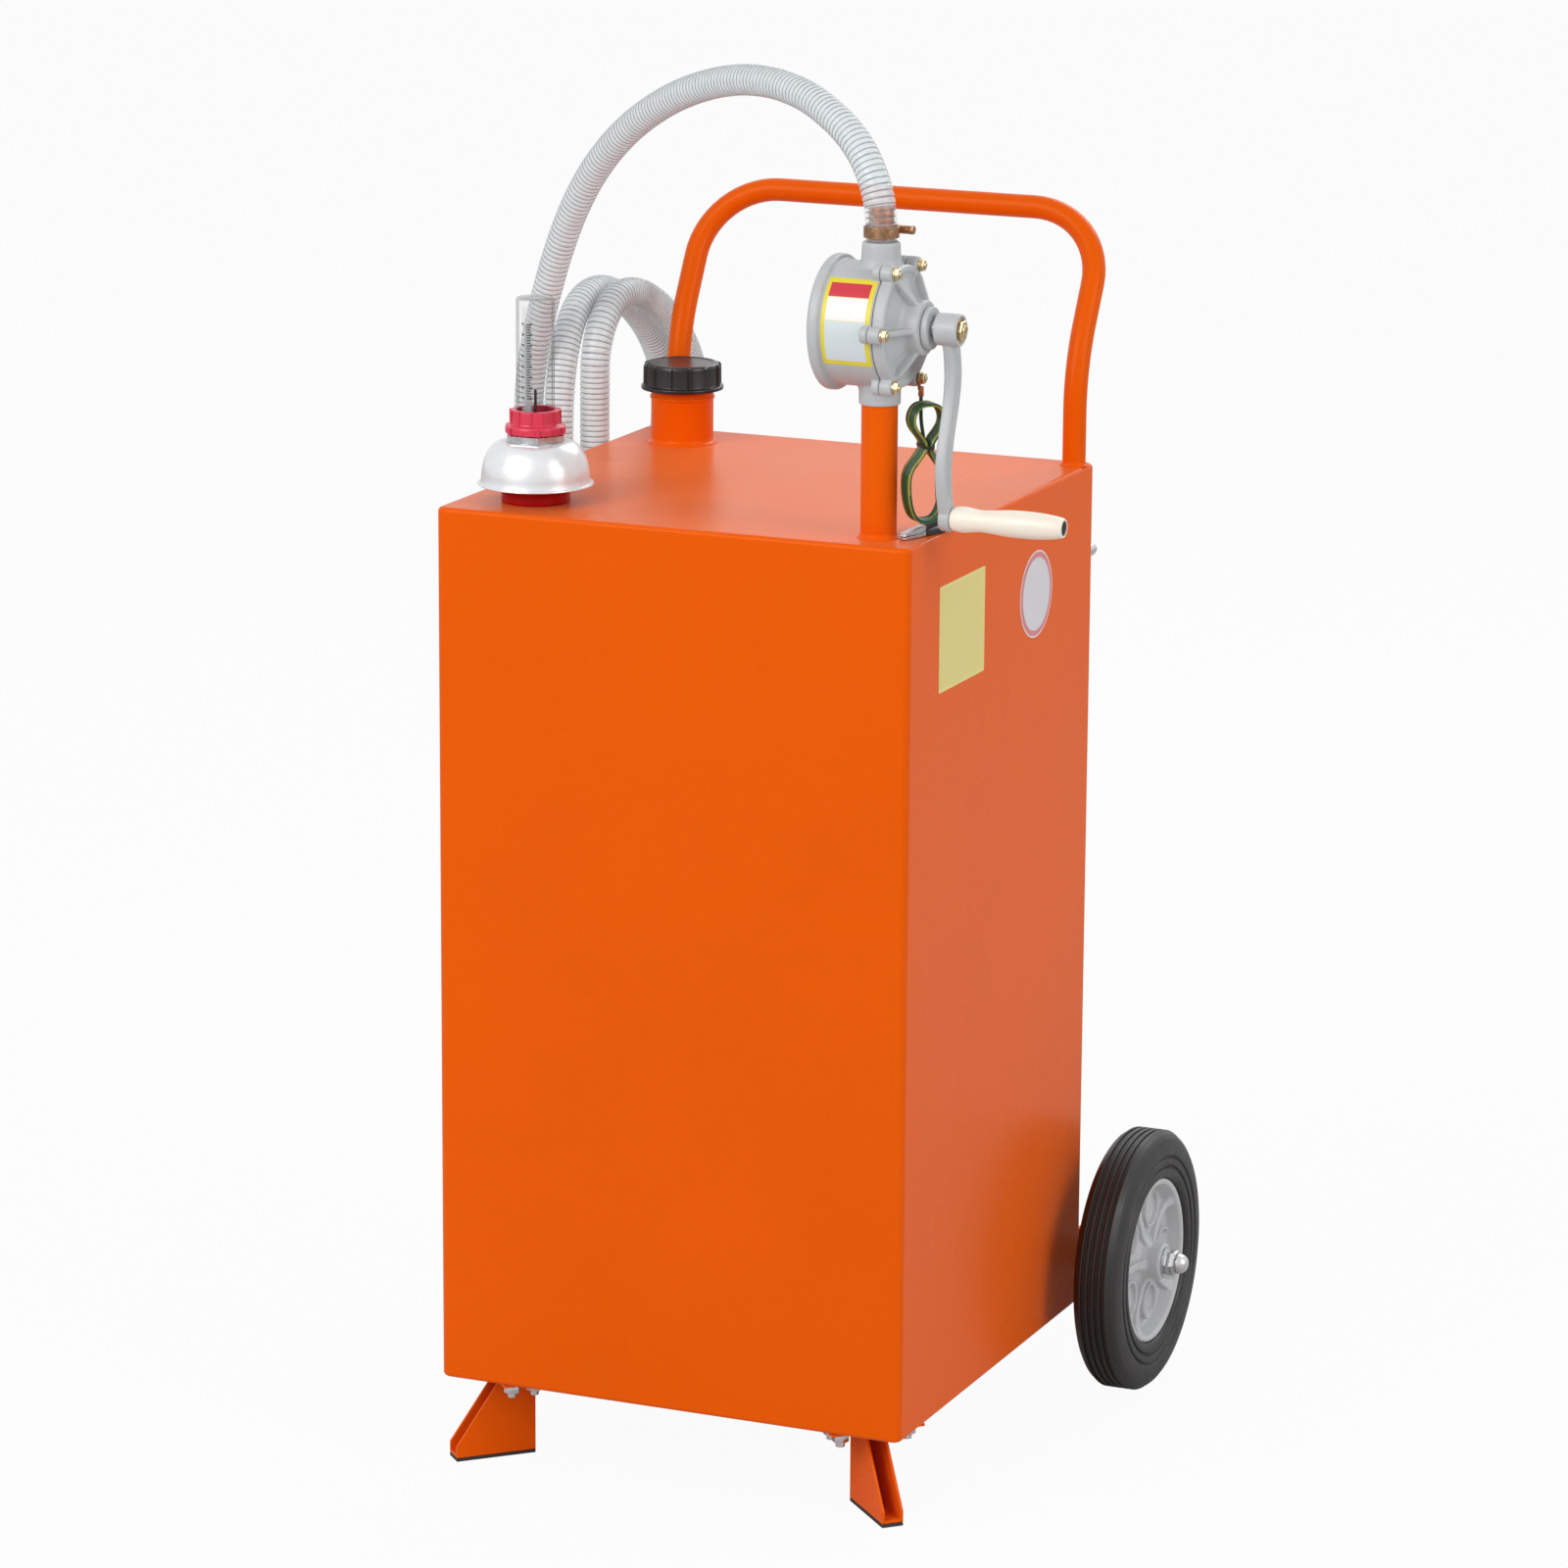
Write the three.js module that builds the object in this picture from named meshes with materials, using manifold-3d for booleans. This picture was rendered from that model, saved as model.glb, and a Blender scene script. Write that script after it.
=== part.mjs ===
// Fuel caddy: a wheeled sheet-steel tank with a hand-cranked rotary pump, a clear ribbed hose,
// a float gauge, a screw-capped filler, a bent tube handle and two front feet.
// Millimetres, +Z up, +X to the crank's side, +Y to the handle and the wheels. The origin is on the floor,
// at the middle of the caddy's outer box without its hose and its ground wire.
import * as THREE from "three";
import { mergeVertices } from "three/addons/utils/BufferGeometryUtils.js";
import Module from "manifold-3d";

const wasm = await Module();
wasm.setup();

// Fits
const seatGap = 0.3; // between pieces that sit in or on each other
const runGap = 0.5; // beside a piece that turns
const overrun = 2; // how far a cut passes the face that it opens

// Tank
const tankWidth = 420;
const tankDepth = 420;
const tankHeight = 750;
const tankWall = 2;
const tankFoldRadius = 8;
const tankEdgeRadius = 4;
const groundClearance = 75;

// Filler
const fillerFromLeft = 61;
const fillerFromBack = 62;
const neckRadius = 27;
const neckWall = 2;
const neckHeight = 64.5;
const neckBeadHeight = 3;
const neckBeadOut = 1.5;
const neckLipHeight = 38.5;
const neckLipOut = 1;
const neckThreadOut = 1.2;
const neckThreadHeight = 12;
const capRadius = 32.3;
const capTopWall = 2.5;
const capTotalHeight = 23;
const capSkirtRadius = 35.7;
const capSkirtHeight = 3.5;
const capRibs = 12;
const capRibWidth = 5;
const capRibOut = 1.6;
const capThreadPitch = 4;
const capTurns = 2;
const capGasketThickness = 2.5;

// Float gauge
const gaugeFromLeft = 63;
const gaugeFromFront = 60;
const gaugeGasketRadius = 28.5;
const gaugeGasketHeight = 14;
const domeRadius = 48;
const domeHeight = 36;
const domeWall = 1.5;
const domeTopRadius = 27;
const gaugeStemRadius = 13.5;
const gaugeStemBelow = 14;
const gaugeNutAcross = 45;
const gaugeNutHeight = 6.5;
const collarFlangeRadius = 25;
const collarFlangeHeight = 7.5;
const collarRingRadius = 21;
const collarRingHeight = 12;
const collarLugs = 6;
const collarLugOut = 1.6;
const gaugeTubeRadius = 15.7;
const gaugeTubeWall = 1.5;
const gaugeTubeHeight = 108.25;
const scaleWidth = 9;
const scaleThickness = 1;
const scaleFromTubeTop = 8;
const scaleLeft = 10; // from the tube's axis to the scale's left edge
const scaleForward = 4.5; // from the tube's axis to the scale's face
const rodRadius = 1.6;
const rodShown = 32;
const rodTravel = 70;
const floatRadius = 12.5;
const floatHeight = 42;
const floatClearance = 20;

// Standpipe and suction tube
const pumpFromRight = 42;
const pumpFromFront = 38;
const standpipeRadius = 14.7;
const standpipeWall = 2;
const standpipeFreeHeight = 108.4;
const weldRadius = 17;
const weldHeight = 3;
const suctionRadius = 9.7;
const suctionWall = 1.5;
const strainerRadius = 13;
const strainerHeight = 40;
const strainerFloorGap = 12;

// Pump, whose axis runs along X
const pumpAxisHeight = 172.5; // over the tank's top
const portToRear = 42.3; // from the port's centre line to the rear face
const rearFlangeRadius = 54.5;
const rearFlangeThickness = 9;
const drumRadius = 50;
const portToJoint = 12; // from the port's centre line to the cover's joint
const chamberRadius = 38;
const chamberOffset = 8;
const chamberDepth = 40;
const socketCollarRadius = 16.5;
const socketDepth = 8;
const inletBoreRadius = 10;
const spigotRadius = 16.2;
const spigotEndRadius = 15.2;
const spigotHeight = 66.7; // over the pump's axis
const barbRadius = 8.6;
const barbLength = 14;
const outletBoreRadius = 6.5;
const boltCircleRadius = 52.5;
const lugRadius = 7;
const lugDepth = 7;
const coverBolts = 6;
const coverFlangeThickness = 10;
const coverFlangeRadius = 49;
const coverConeRadius = 42;
const coverConeEndRadius = 25;
const coverConeLength = 10;
const coverBossRadius = 22;
const coverBossLength = 8;
const coverRibThickness = 5;
const coverBoltRadius = 2.4;
const coverBoltHeadAcross = 9;
const coverBoltHeadHeight = 4;
const coverBoltReach = 6; // into the housing's lugs
const glandRadius = 17;
const glandLength = 5;
const shaftRadius = 7;
const rotorRadius = 29.2;
const vaneThickness = 3;
const vaneRoot = 12;
const vanes = 2;

// Crank and its grip
const crankRadius = 152;
const hubRadius = 13;
const hubLength = 20;
const hubGap = 4; // from the gland to the hub
const armThickness = 9;
const armFromHubRear = 5;
const armHalfWidthTop = 10;
const armHalfWidthEnd = 8;
const armCurve = 9; // how far the S leaves the straight line
const armEndRadius = 10.5;
const hubRecessRadius = 10.5;
const hubRecessDepth = 3;
const crankNutAcross = 16;
const crankNutHeight = 5;
const crankStudRadius = 4.8;
const gripLength = 95;
const gripRadius = 11;
const gripRadiusShares = [
  [0, 0.78],
  [0.03, 0.88],
  [0.12, 0.96],
  [0.24, 0.79],
  [0.34, 0.84],
  [0.5, 0.97],
  [0.66, 1],
  [0.84, 0.93],
  [0.97, 0.76],
  [1, 0.68],
];
const spindleRadius = 4;
const spindleHeadRadius = 5.1;
const spindleHeadHeight = 2.5;
const gripRecessDepth = 11;

// Handle
const handleTubeRadius = 10;
const handleRightFromEdge = 12;
const handleLeftFromEdge = 38;
const handleFromBack = 20;
const handleHeight = 208; // the bar's centre over the tank's top
const handleBendHeight = 84.5;
const handleBendRadius = 150;
const handleLean = THREE.MathUtils.degToRad(29.5);
const handleCornerRadius = 66;

// Wheels and axle
const wheelRadius = 115;
const tyreWidth = 42;
const tyreShoulder = 9;
const tyreGrooves = 4;
const tyreGrooveDepth = 2.5;
const tyreGrooveWidth = 2;
const tyreHeight = 42; // of rubber over the rim
const rimLip = 6;
const rimInset = 4;
const hubBossRadius = 16;
const hubBossOut = 5; // past the tyre's outer face
const webThickness = 5;
const axleRadius = 8;
const axleBehindTank = 16;
const wheelFromTank = 26; // from the tank's side to the tyre
const bracketThickness = 5;
const bracketHeight = 50;
const bracketReach = 14; // behind the axle
const axleNutAcross = 22;
const axleNutHeight = 10;
const axleDomeHeight = 11;
const axleDomeRadius = 9;

// Feet
const footInnerFromCorner = 82;
const footToeFromCorner = 11;
const footTopFromCorner = 54;
const footToeHeight = 10;
const footWidth = 19;
const footSheet = 2.5;
const footPadThickness = 3;
const footFlangeLength = 39;
const footFlangeOut = 32;

// Hose
const hoseDiameter = 26;
const hoseValleyDepth = 0.9;
const hoseBoreRadius = 10.7;
const hoseRibs = 75;
const hoseRingPoints = 8;
const archRise = 118; // over the spigot's shoulder
const ribsPerBoreRing = 1.5;
const coilRadius = 128;
const coilCornerOut = 11; // of the coil's rounded corners past that radius
const coilPitch = 29; // from one turn to the next, away from the tank
const coilOut = 51.25; // from the tail out to the coil's start
const coilFromTank = 2; // from the tank's side to the tail
const coilTopHeight = 118.5; // the top of the coil's centre line over the tank's top
const coilFrontFromBack = 104; // the coil's front run, ahead of the tank's back
const tailBendRadius = 60;
const tailStraight = 28;
const tailSettle = 44; // below the bend, where the tail has come clear of the tank's wall
const spoutCollarRadius = 14;
const spoutCollarHeight = 10;
const spoutRadius = 11;
const spoutEndRadius = 9;
const spoutBoreRadius = 6.5;
const spoutLength = 40;
const clampWidth = 9;
const clampBand = 1;
const clampAboveSpigot = 3;
const clampScrewRadius = 3.6;
const clampScrewLength = 30;
const clampHousingLength = 16;
const tailSettleShare = 0.9; // of the tail's bend, where it starts to move out past the tank's wall
const strapThickness = 1.5;
const strapWidth = 16;
const strapSlack = 0.85;
const strapTurnShare = 0.04; // of a turn past the coil's front
const hookRodRadius = 5;
const hookTurnShares = [0.18, 0.35]; // of a turn past the coil's front, where the hooks carry it
const hookLip = 20;
const hookBendRadius = 10;
const hookPastCoil = 9;
const rearHookFromLeft = 20;

// Ground wire
const wireDiameter = 3;
const hankLoops = 5;
const hankPitch = 3.6;
const hankHalfWidth = 17;
const hankHeight = 98;
const hankFromRight = 9;
const hankFromFront = 55;
const hankTopDrop = 62.5; // from the pump's axis to the top of the hank
const hankWaistDrop = 98; // from the pump's axis to the waist
const hankWaistHalf = 2.1;
const hankWaistReach = 14;
const hankPlanAngle = THREE.MathUtils.degToRad(45);
const lugRingRadius = 4.6;
const lugSheet = 1.2;
const lugBarrelRadius = 2.2;
const lugBarrelLength = 8;
const clipWidth = 9;
const clipJawLength = 24;
const clipGripLength = 26;
const clipGripHeight = 4;
const clipJawHeight = 2.5;
const clipOpenRise = 4;
const clipTipFromRight = 20;
const clipTipFromFront = 33;
const clipPlanAngle = THREE.MathUtils.degToRad(72);

// Rear post
const postRadius = 6;
const postLength = 26;
const postFromRight = 11;
const postBelowTop = 80;

// Places that follow from the sizes above
const tankTop = groundClearance + tankHeight;
const tankRight = tankWidth / 2;
const tankBack = tankDepth / 2;
const fillerX = fillerFromLeft - tankRight;
const fillerY = tankBack - fillerFromBack;
const gaugeX = gaugeFromLeft - tankRight;
const gaugeY = gaugeFromFront - tankBack;
const pumpX = tankRight - pumpFromRight;
const pumpY = pumpFromFront - tankBack;
const pumpZ = tankTop + pumpAxisHeight;
const coverFace = portToJoint + seatGap + coverFlangeThickness;
const coverEnd = coverFace + coverConeLength + coverBossLength;
const glandEnd = coverEnd + seatGap + glandLength;
const hubRear = glandEnd + hubGap;
const hubFront = hubRear + hubLength;
const crankNutStart = hubFront - hubRecessDepth + seatGap;
const armRear = hubRear + armFromHubRear;
const armFront = armRear + armThickness;
const gripStart = armFront + runGap;
const gripEnd = gripStart + gripLength;
const axleY = tankBack + axleBehindTank;
const rimRadius = wheelRadius - tyreHeight;
const tyreInner = tankRight + wheelFromTank;
const tyreOuter = tyreInner + tyreWidth;
const hubOuter = tyreOuter + hubBossOut;
const axleNutEnd = hubOuter + runGap + axleNutHeight + axleDomeHeight;
const cornerDiagonal = Math.hypot(tankRight, tankBack);
const originX = (pumpX + gripEnd - axleNutEnd) / 2;
const originY = (axleY + wheelRadius + pumpY - boltCircleRadius - lugRadius) / 2;

// Facets round a full circle
const fine = 24;
const medium = 20;
const coarse = 12;

function material(name, color, roughness, metalness, opacity = 1) {
  const transparent = opacity < 1;
  return new THREE.MeshStandardMaterial({ name, color, roughness, metalness, opacity, transparent });
}

const orangePaint = material("orange powder coat", 0xe85c04, 0.4, 0);
const blackPlastic = material("black plastic", 0x2a2526, 0.5, 0);
const darkRubber = material("black rubber", 0x35302f, 0.8, 0);
const redRubber = material("red rubber", 0x9c0a10, 0.6, 0);
const silverPlastic = material("silver plastic", 0xd5d6d8, 0.35, 0.4);
const redPlastic = material("red plastic", 0xd8304e, 0.4, 0);
const clearPlastic = material("clear plastic", 0xf2f6f6, 0.1, 0, 0.35);
const whitePlastic = material("white plastic", 0xf0efe9, 0.5, 0);
const greyCast = material("grey painted cast aluminium", 0xb9bcbe, 0.5, 0.3);
const greyPlastic = material("grey plastic", 0xaaaaab, 0.45, 0);
const zincSteel = material("zinc-plated steel", 0xc4c5c6, 0.35, 0.9);
const brass = material("brass", 0xcaa55a, 0.35, 0.9);
const copper = material("copper", 0xb06a45, 0.4, 0.9);
const creamWood = material("varnished wood", 0xf6ebdb, 0.45, 0);
const greenWire = material("green and yellow wire", 0x1f5a34, 0.5, 0);

// A closed geometry as a solid to cut and join. A geometry that faces inwards is turned round.
function solid(geometry) {
  const bare = geometry.clone();
  bare.deleteAttribute("normal");
  bare.deleteAttribute("uv");
  const merged = mergeVertices(bare);
  const corners = merged.index.array;
  const kept = [];
  for (let i = 0; i < corners.length; i += 3) {
    const [a, b, c] = corners.slice(i, i + 3);
    if (a !== b && b !== c && c !== a) kept.push(a, b, c);
  }
  const vertProperties = merged.attributes.position.array;
  const build = (list) => {
    const triVerts = new Uint32Array(list);
    return new wasm.Manifold(new wasm.Mesh({ numProp: 3, vertProperties, triVerts }));
  };
  const made = build(kept);
  return made.volume() > 0 ? made : build(kept.reverse());
}

function geometryOf(made) {
  const { vertProperties, triVerts } = made.getMesh();
  const indexed = new THREE.BufferGeometry();
  indexed.setAttribute("position", new THREE.BufferAttribute(vertProperties, 3));
  indexed.setIndex(new THREE.BufferAttribute(triVerts, 1));
  const flat = indexed.toNonIndexed();
  flat.computeVertexNormals();
  return flat;
}

function add(group, name, made, look) {
  const mesh = new THREE.Mesh(geometryOf(made), look);
  mesh.name = name;
  group.add(mesh);
  return mesh;
}

function join(...solids) {
  return solids.reduce((all, next) => all.add(next));
}

function place(x, y, z) {
  const group = new THREE.Group();
  group.position.set(x, y, z);
  return group;
}

// A box between two corners.
function block(x0, x1, y0, y1, z0, z1) {
  const box = new THREE.BoxGeometry(x1 - x0, y1 - y0, z1 - z0);
  return solid(box.translate((x0 + x1) / 2, (y0 + y1) / 2, (z0 + z1) / 2));
}

// A closed profile of [radius, height] points turned round the Z axis, or round the X axis.
function turned(profile, segments, alongX = false) {
  const points = profile.map(([radius, height]) => new THREE.Vector2(radius, height));
  const lathe = new THREE.LatheGeometry(points, segments);
  return solid(alongX ? lathe.rotateZ(-Math.PI / 2) : lathe.rotateX(Math.PI / 2));
}

function disc(radius, from, to, segments, alongX = false) {
  const profile = [[0, from], [radius, from], [radius, to], [0, to]];
  return turned(profile, segments, alongX);
}

function pipe(outer, inner, from, to, segments, alongX = false) {
  const profile = [[inner, from], [outer, from], [outer, to], [inner, to], [inner, from]];
  return turned(profile, segments, alongX);
}

// A hexagon of a given size across its flats.
function hexagon(across, from, to, alongX = false) {
  return disc(across / Math.sqrt(3), from, to, 6, alongX);
}

function shift(made, x, y, z) {
  return made.translate([x, y, z]);
}

// A flat outline in X and Y, thickened along Z.
function slab(points, from, to) {
  const shape = new THREE.Shape(points.map(([x, y]) => new THREE.Vector2(x, y)));
  const cut = new THREE.ExtrudeGeometry(shape, { depth: to - from, bevelEnabled: false });
  return solid(cut.translate(0, 0, from));
}

// The same outline standing in the Y and Z plane, thickened along X.
const facingX = new THREE.Matrix4().makeBasis(
  new THREE.Vector3(0, 1, 0),
  new THREE.Vector3(0, 0, 1),
  new THREE.Vector3(1, 0, 0),
);
function slabAlongX(points, from, to) {
  const shape = new THREE.Shape(points.map(([y, z]) => new THREE.Vector2(y, z)));
  const cut = new THREE.ExtrudeGeometry(shape, { depth: to - from, bevelEnabled: false });
  return solid(cut.translate(0, 0, from).applyMatrix4(facingX));
}

// The same outline standing in the X and Z plane, thickened along Y from one side to the other.
function slabAcross(points, halfWidth) {
  const shape = new THREE.Shape(points.map(([x, z]) => new THREE.Vector2(x, z)));
  const cut = new THREE.ExtrudeGeometry(shape, { depth: 2 * halfWidth, bevelEnabled: false });
  return solid(cut.rotateX(Math.PI / 2).translate(0, halfWidth, 0));
}

// A route through stations, each with its own direction, so that a straight run needs only its two ends.
class Route extends THREE.Curve {
  constructor(stations, directions) {
    super();
    this.stations = stations;
    this.directions = directions ?? stations.map((_, i) => {
      const before = stations[Math.max(i - 1, 0)];
      const after = stations[Math.min(i + 1, stations.length - 1)];
      return after.clone().sub(before).normalize();
    });
  }

  static between(list, t) {
    const place = t * (list.length - 1);
    const i = Math.min(Math.floor(place), list.length - 2);
    return list[i].clone().lerp(list[i + 1], place - i);
  }

  getPoint(t) {
    return Route.between(this.stations, t);
  }

  getPointAt(t) {
    return this.getPoint(t);
  }

  getTangentAt(t) {
    return Route.between(this.directions, t).normalize();
  }
}

// The stations of a line through corners, each inner corner rounded by its radius.
function rounded(corners, radii, steps) {
  const stations = [corners[0]];
  const directions = [corners[1].clone().sub(corners[0]).normalize()];
  for (let i = 1; i < corners.length - 1; i++) {
    const arrive = corners[i].clone().sub(corners[i - 1]).normalize();
    const leave = corners[i + 1].clone().sub(corners[i]).normalize();
    const turn = arrive.angleTo(leave);
    const radius = radii[i - 1];
    const inward = leave.clone().addScaledVector(arrive, -Math.cos(turn)).normalize();
    const start = corners[i].clone().addScaledVector(arrive, -radius * Math.tan(turn / 2));
    for (let k = 0; k <= steps; k++) {
      const angle = (turn * k) / steps;
      const station = start.clone().addScaledVector(arrive, radius * Math.sin(angle));
      stations.push(station.addScaledVector(inward, radius * (1 - Math.cos(angle))));
      const direction = arrive.clone().multiplyScalar(Math.cos(angle));
      directions.push(direction.addScaledVector(inward, Math.sin(angle)));
    }
  }
  stations.push(corners.at(-1));
  directions.push(corners.at(-1).clone().sub(corners.at(-2)).normalize());
  return new Route(stations, directions);
}

// A round bar or tube of straight facets along a route.
function bar(route, radius, sides) {
  const ring = [];
  for (let k = 0; k < sides; k++) {
    const angle = (2 * Math.PI * k) / sides;
    ring.push(new THREE.Vector2(radius * Math.cos(angle), radius * Math.sin(angle)));
  }
  const steps = route.stations.length - 1;
  const options = { steps, extrudePath: route, bevelEnabled: false };
  return solid(new THREE.ExtrudeGeometry(new THREE.Shape(ring), options));
}

// The least clear distance between stretches of one wound tube that lie a few diameters apart along it.
function leastGap(points, diameter) {
  const along = [0];
  for (let i = 1; i < points.length; i++) along.push(along[i - 1] + points[i].distanceTo(points[i - 1]));
  let least = Infinity;
  for (let i = 0; i < points.length; i++)
    for (let j = i + 1; j < points.length; j++) {
      const gap = points[i].distanceTo(points[j]) - diameter;
      if (along[j] - along[i] > 4 * diameter) least = Math.min(least, gap);
    }
  return least;
}

function lengthOf(points) {
  return points.slice(1).reduce((sum, point, i) => sum + point.distanceTo(points[i]), 0);
}

// A rectangle with round corners, each of a few facets.
function roundedRectangle(width, depth, radius) {
  const points = [];
  const facets = 3;
  for (let corner = 0; corner < 4; corner++) {
    const sideX = corner === 0 || corner === 3 ? 1 : -1;
    const sideY = corner < 2 ? 1 : -1;
    for (let k = 0; k <= facets; k++) {
      const angle = (Math.PI / 2) * (corner + k / facets);
      const x = sideX * (width / 2 - radius) + radius * Math.cos(angle);
      points.push([x, sideY * (depth / 2 - radius) + radius * Math.sin(angle)]);
    }
  }
  return points;
}

const part = place(-originX, -originY, 0);

// Tank shell: a sheet box, open through its filler, gauge and suction holes.
function tankShell() {
  const edge = tankEdgeRadius;
  const outline = roundedRectangle(tankWidth - 2 * edge, tankDepth - 2 * edge, tankFoldRadius - edge);
  const shape = new THREE.Shape(outline.map(([x, y]) => new THREE.Vector2(x, y)));
  const body = new THREE.ExtrudeGeometry(shape, {
    depth: tankHeight - 2 * edge,
    bevelThickness: edge,
    bevelSize: edge,
    bevelSegments: 2,
  });
  const outside = solid(body.translate(0, 0, groundClearance + edge));
  const insideFold = tankFoldRadius - tankWall;
  const hollow = roundedRectangle(tankWidth - 2 * tankWall, tankDepth - 2 * tankWall, insideFold);
  const inside = slab(hollow, groundClearance + tankWall, tankTop - tankWall);
  const hole = (radius, x, y, segments) =>
    shift(disc(radius, tankTop - tankWall - overrun, tankTop + overrun, segments), x, y, 0);
  return outside
    .subtract(inside)
    .subtract(hole(neckRadius - neckWall, fillerX, fillerY, fine))
    .subtract(hole(gaugeStemRadius + seatGap, gaugeX, gaugeY, medium))
    .subtract(hole(standpipeRadius - standpipeWall, pumpX, pumpY, medium));
}
add(part, "tank_shell", tankShell(), orangePaint);

// Filler: a welded neck with a bead, a lip and a thread band, and its screw cap with a gasket.
const filler = place(fillerX, fillerY, tankTop);
part.add(filler);
const capTop = neckHeight + seatGap + capGasketThickness + seatGap + capTopWall;
const capBottom = capTop - capTotalHeight;
const capInnerRadius = neckRadius + neckThreadOut + runGap;

function fillerNeck() {
  const inner = neckRadius - neckWall;
  const thread = neckRadius + neckThreadOut;
  const lip = neckRadius + neckLipOut;
  return turned(
    [
      [inner, 0],
      [neckRadius + neckBeadOut, 0],
      [neckRadius + neckBeadOut, neckBeadHeight / 2],
      [neckRadius, neckBeadHeight],
      [neckRadius, neckLipHeight],
      [lip, neckLipHeight],
      [lip, neckLipHeight + neckBeadHeight],
      [neckRadius, neckLipHeight + neckBeadHeight],
      [neckRadius, neckHeight - neckThreadHeight],
      [thread, neckHeight - neckThreadHeight],
      [thread, neckHeight - neckWall],
      [neckRadius, neckHeight],
      [inner, neckHeight],
      [inner, 0],
    ],
    fine,
  );
}

function fillerCap() {
  const shell = turned(
    [
      [capInnerRadius, capBottom],
      [capSkirtRadius, capBottom],
      [capSkirtRadius, capBottom + capSkirtHeight / 2],
      [capRadius, capBottom + capSkirtHeight],
      [capRadius, capTop - capTopWall],
      [capRadius - capTopWall / 2, capTop],
      [0, capTop],
      [0, capTop - capTopWall],
      [capInnerRadius, capTop - capTopWall],
      [capInnerRadius, capBottom],
    ],
    fine,
  );
  const from = capRadius - capRibOut;
  const to = capRadius + capRibOut;
  const half = capRibWidth / 2;
  let ribbed = shell;
  for (let k = 0; k < capRibs; k++) {
    const rib = block(from, to, -half, half, capBottom + capSkirtHeight / 2, capTop - capTopWall);
    ribbed = ribbed.add(rib.rotate([0, 0, (360 * k) / capRibs]));
  }
  return ribbed;
}
add(filler, "filler_neck", fillerNeck(), orangePaint);
add(filler, "filler_cap", fillerCap(), blackPlastic);
const capGasketBottom = neckHeight + seatGap;
add(
  filler,
  "filler_cap_gasket",
  pipe(neckRadius, neckRadius / 2, capGasketBottom, capGasketBottom + capGasketThickness, fine),
  darkRubber,
);

// Float gauge: a threaded collar goes through its nut, the domed cover and the gasket into the tank.
const gauge = place(gaugeX, gaugeY, tankTop);
part.add(gauge);
const domeBottom = gaugeGasketHeight + seatGap;
const domeTop = domeBottom + domeHeight;
const gaugeNutTop = domeTop + seatGap + gaugeNutHeight;
const collarFlangeBottom = gaugeNutTop + seatGap;
const collarFlangeTop = collarFlangeBottom + collarFlangeHeight;
const collarTop = collarFlangeTop + collarRingHeight;
const tubeBottom = collarFlangeBottom + collarFlangeHeight / 2;
const tubeTop = tubeBottom + gaugeTubeHeight;
const stemBore = rodRadius + runGap;

function gaugeDome() {
  const bore = gaugeStemRadius + seatGap;
  const steps = 5;
  const outer = [];
  const inner = [];
  for (let k = 0; k <= steps; k++) {
    const angle = (Math.PI / 2) * (k / steps);
    const across = domeTopRadius + (domeRadius - 2 * domeWall - domeTopRadius) * Math.cos(angle);
    const up = domeBottom + 3 * domeWall + (domeHeight - 3 * domeWall) * Math.sin(angle);
    outer.push([across, up]);
    inner.unshift([across - domeWall, up - domeWall]);
  }
  return turned(
    [
      [bore, domeTop - domeWall],
      ...inner,
      [domeRadius - 3 * domeWall, domeBottom],
      [domeRadius, domeBottom],
      [domeRadius, domeBottom + domeWall],
      ...outer,
      [bore, domeTop],
      [bore, domeTop - domeWall],
    ],
    fine,
  );
}

function gaugeCollar() {
  const socket = gaugeTubeRadius + seatGap;
  const body = turned(
    [
      [stemBore, -gaugeStemBelow],
      [gaugeStemRadius, -gaugeStemBelow],
      [gaugeStemRadius, collarFlangeBottom],
      [collarFlangeRadius, collarFlangeBottom],
      [collarFlangeRadius, collarFlangeTop],
      [collarRingRadius, collarFlangeTop],
      [collarRingRadius, collarTop],
      [socket, collarTop],
      [socket, tubeBottom - seatGap],
      [stemBore, tubeBottom - seatGap],
      [stemBore, -gaugeStemBelow],
    ],
    medium,
  );
  let lugged = body;
  const from = collarRingRadius;
  for (let k = 0; k < collarLugs; k++) {
    const high = collarFlangeTop - collarLugOut;
    const out = collarFlangeRadius + collarLugOut;
    const lug = block(from, out, -collarLugOut, collarLugOut, collarFlangeBottom, high);
    lugged = lugged.add(lug.rotate([0, 0, (360 * k) / collarLugs]));
  }
  return lugged;
}

function gaugeTube() {
  const inner = gaugeTubeRadius - gaugeTubeWall;
  const shut = tubeTop - gaugeTubeWall;
  const profile = [
    [inner, tubeBottom],
    [gaugeTubeRadius, tubeBottom],
    [gaugeTubeRadius, tubeTop],
    [0, tubeTop],
    [0, shut],
    [inner, shut],
    [inner, tubeBottom],
  ];
  return turned(profile, medium);
}
const gaugeGasket = pipe(gaugeGasketRadius, gaugeStemRadius + seatGap, 0, gaugeGasketHeight, medium);
add(gauge, "gauge_gasket", gaugeGasket, redRubber);
add(gauge, "gauge_dome", gaugeDome(), silverPlastic);
add(
  gauge,
  "gauge_nut",
  hexagon(gaugeNutAcross, domeTop + seatGap, gaugeNutTop).subtract(
    disc(gaugeStemRadius + seatGap, domeTop - overrun, gaugeNutTop + overrun, medium),
  ),
  zincSteel,
);
add(gauge, "gauge_collar", gaugeCollar(), redPlastic);
add(gauge, "gauge_tube", gaugeTube(), clearPlastic);
add(
  gauge,
  "gauge_scale",
  block(
    -scaleLeft,
    scaleWidth - scaleLeft,
    -scaleForward,
    scaleThickness - scaleForward,
    tubeBottom,
    tubeTop - scaleFromTubeTop,
  ),
  whitePlastic,
);

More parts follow.
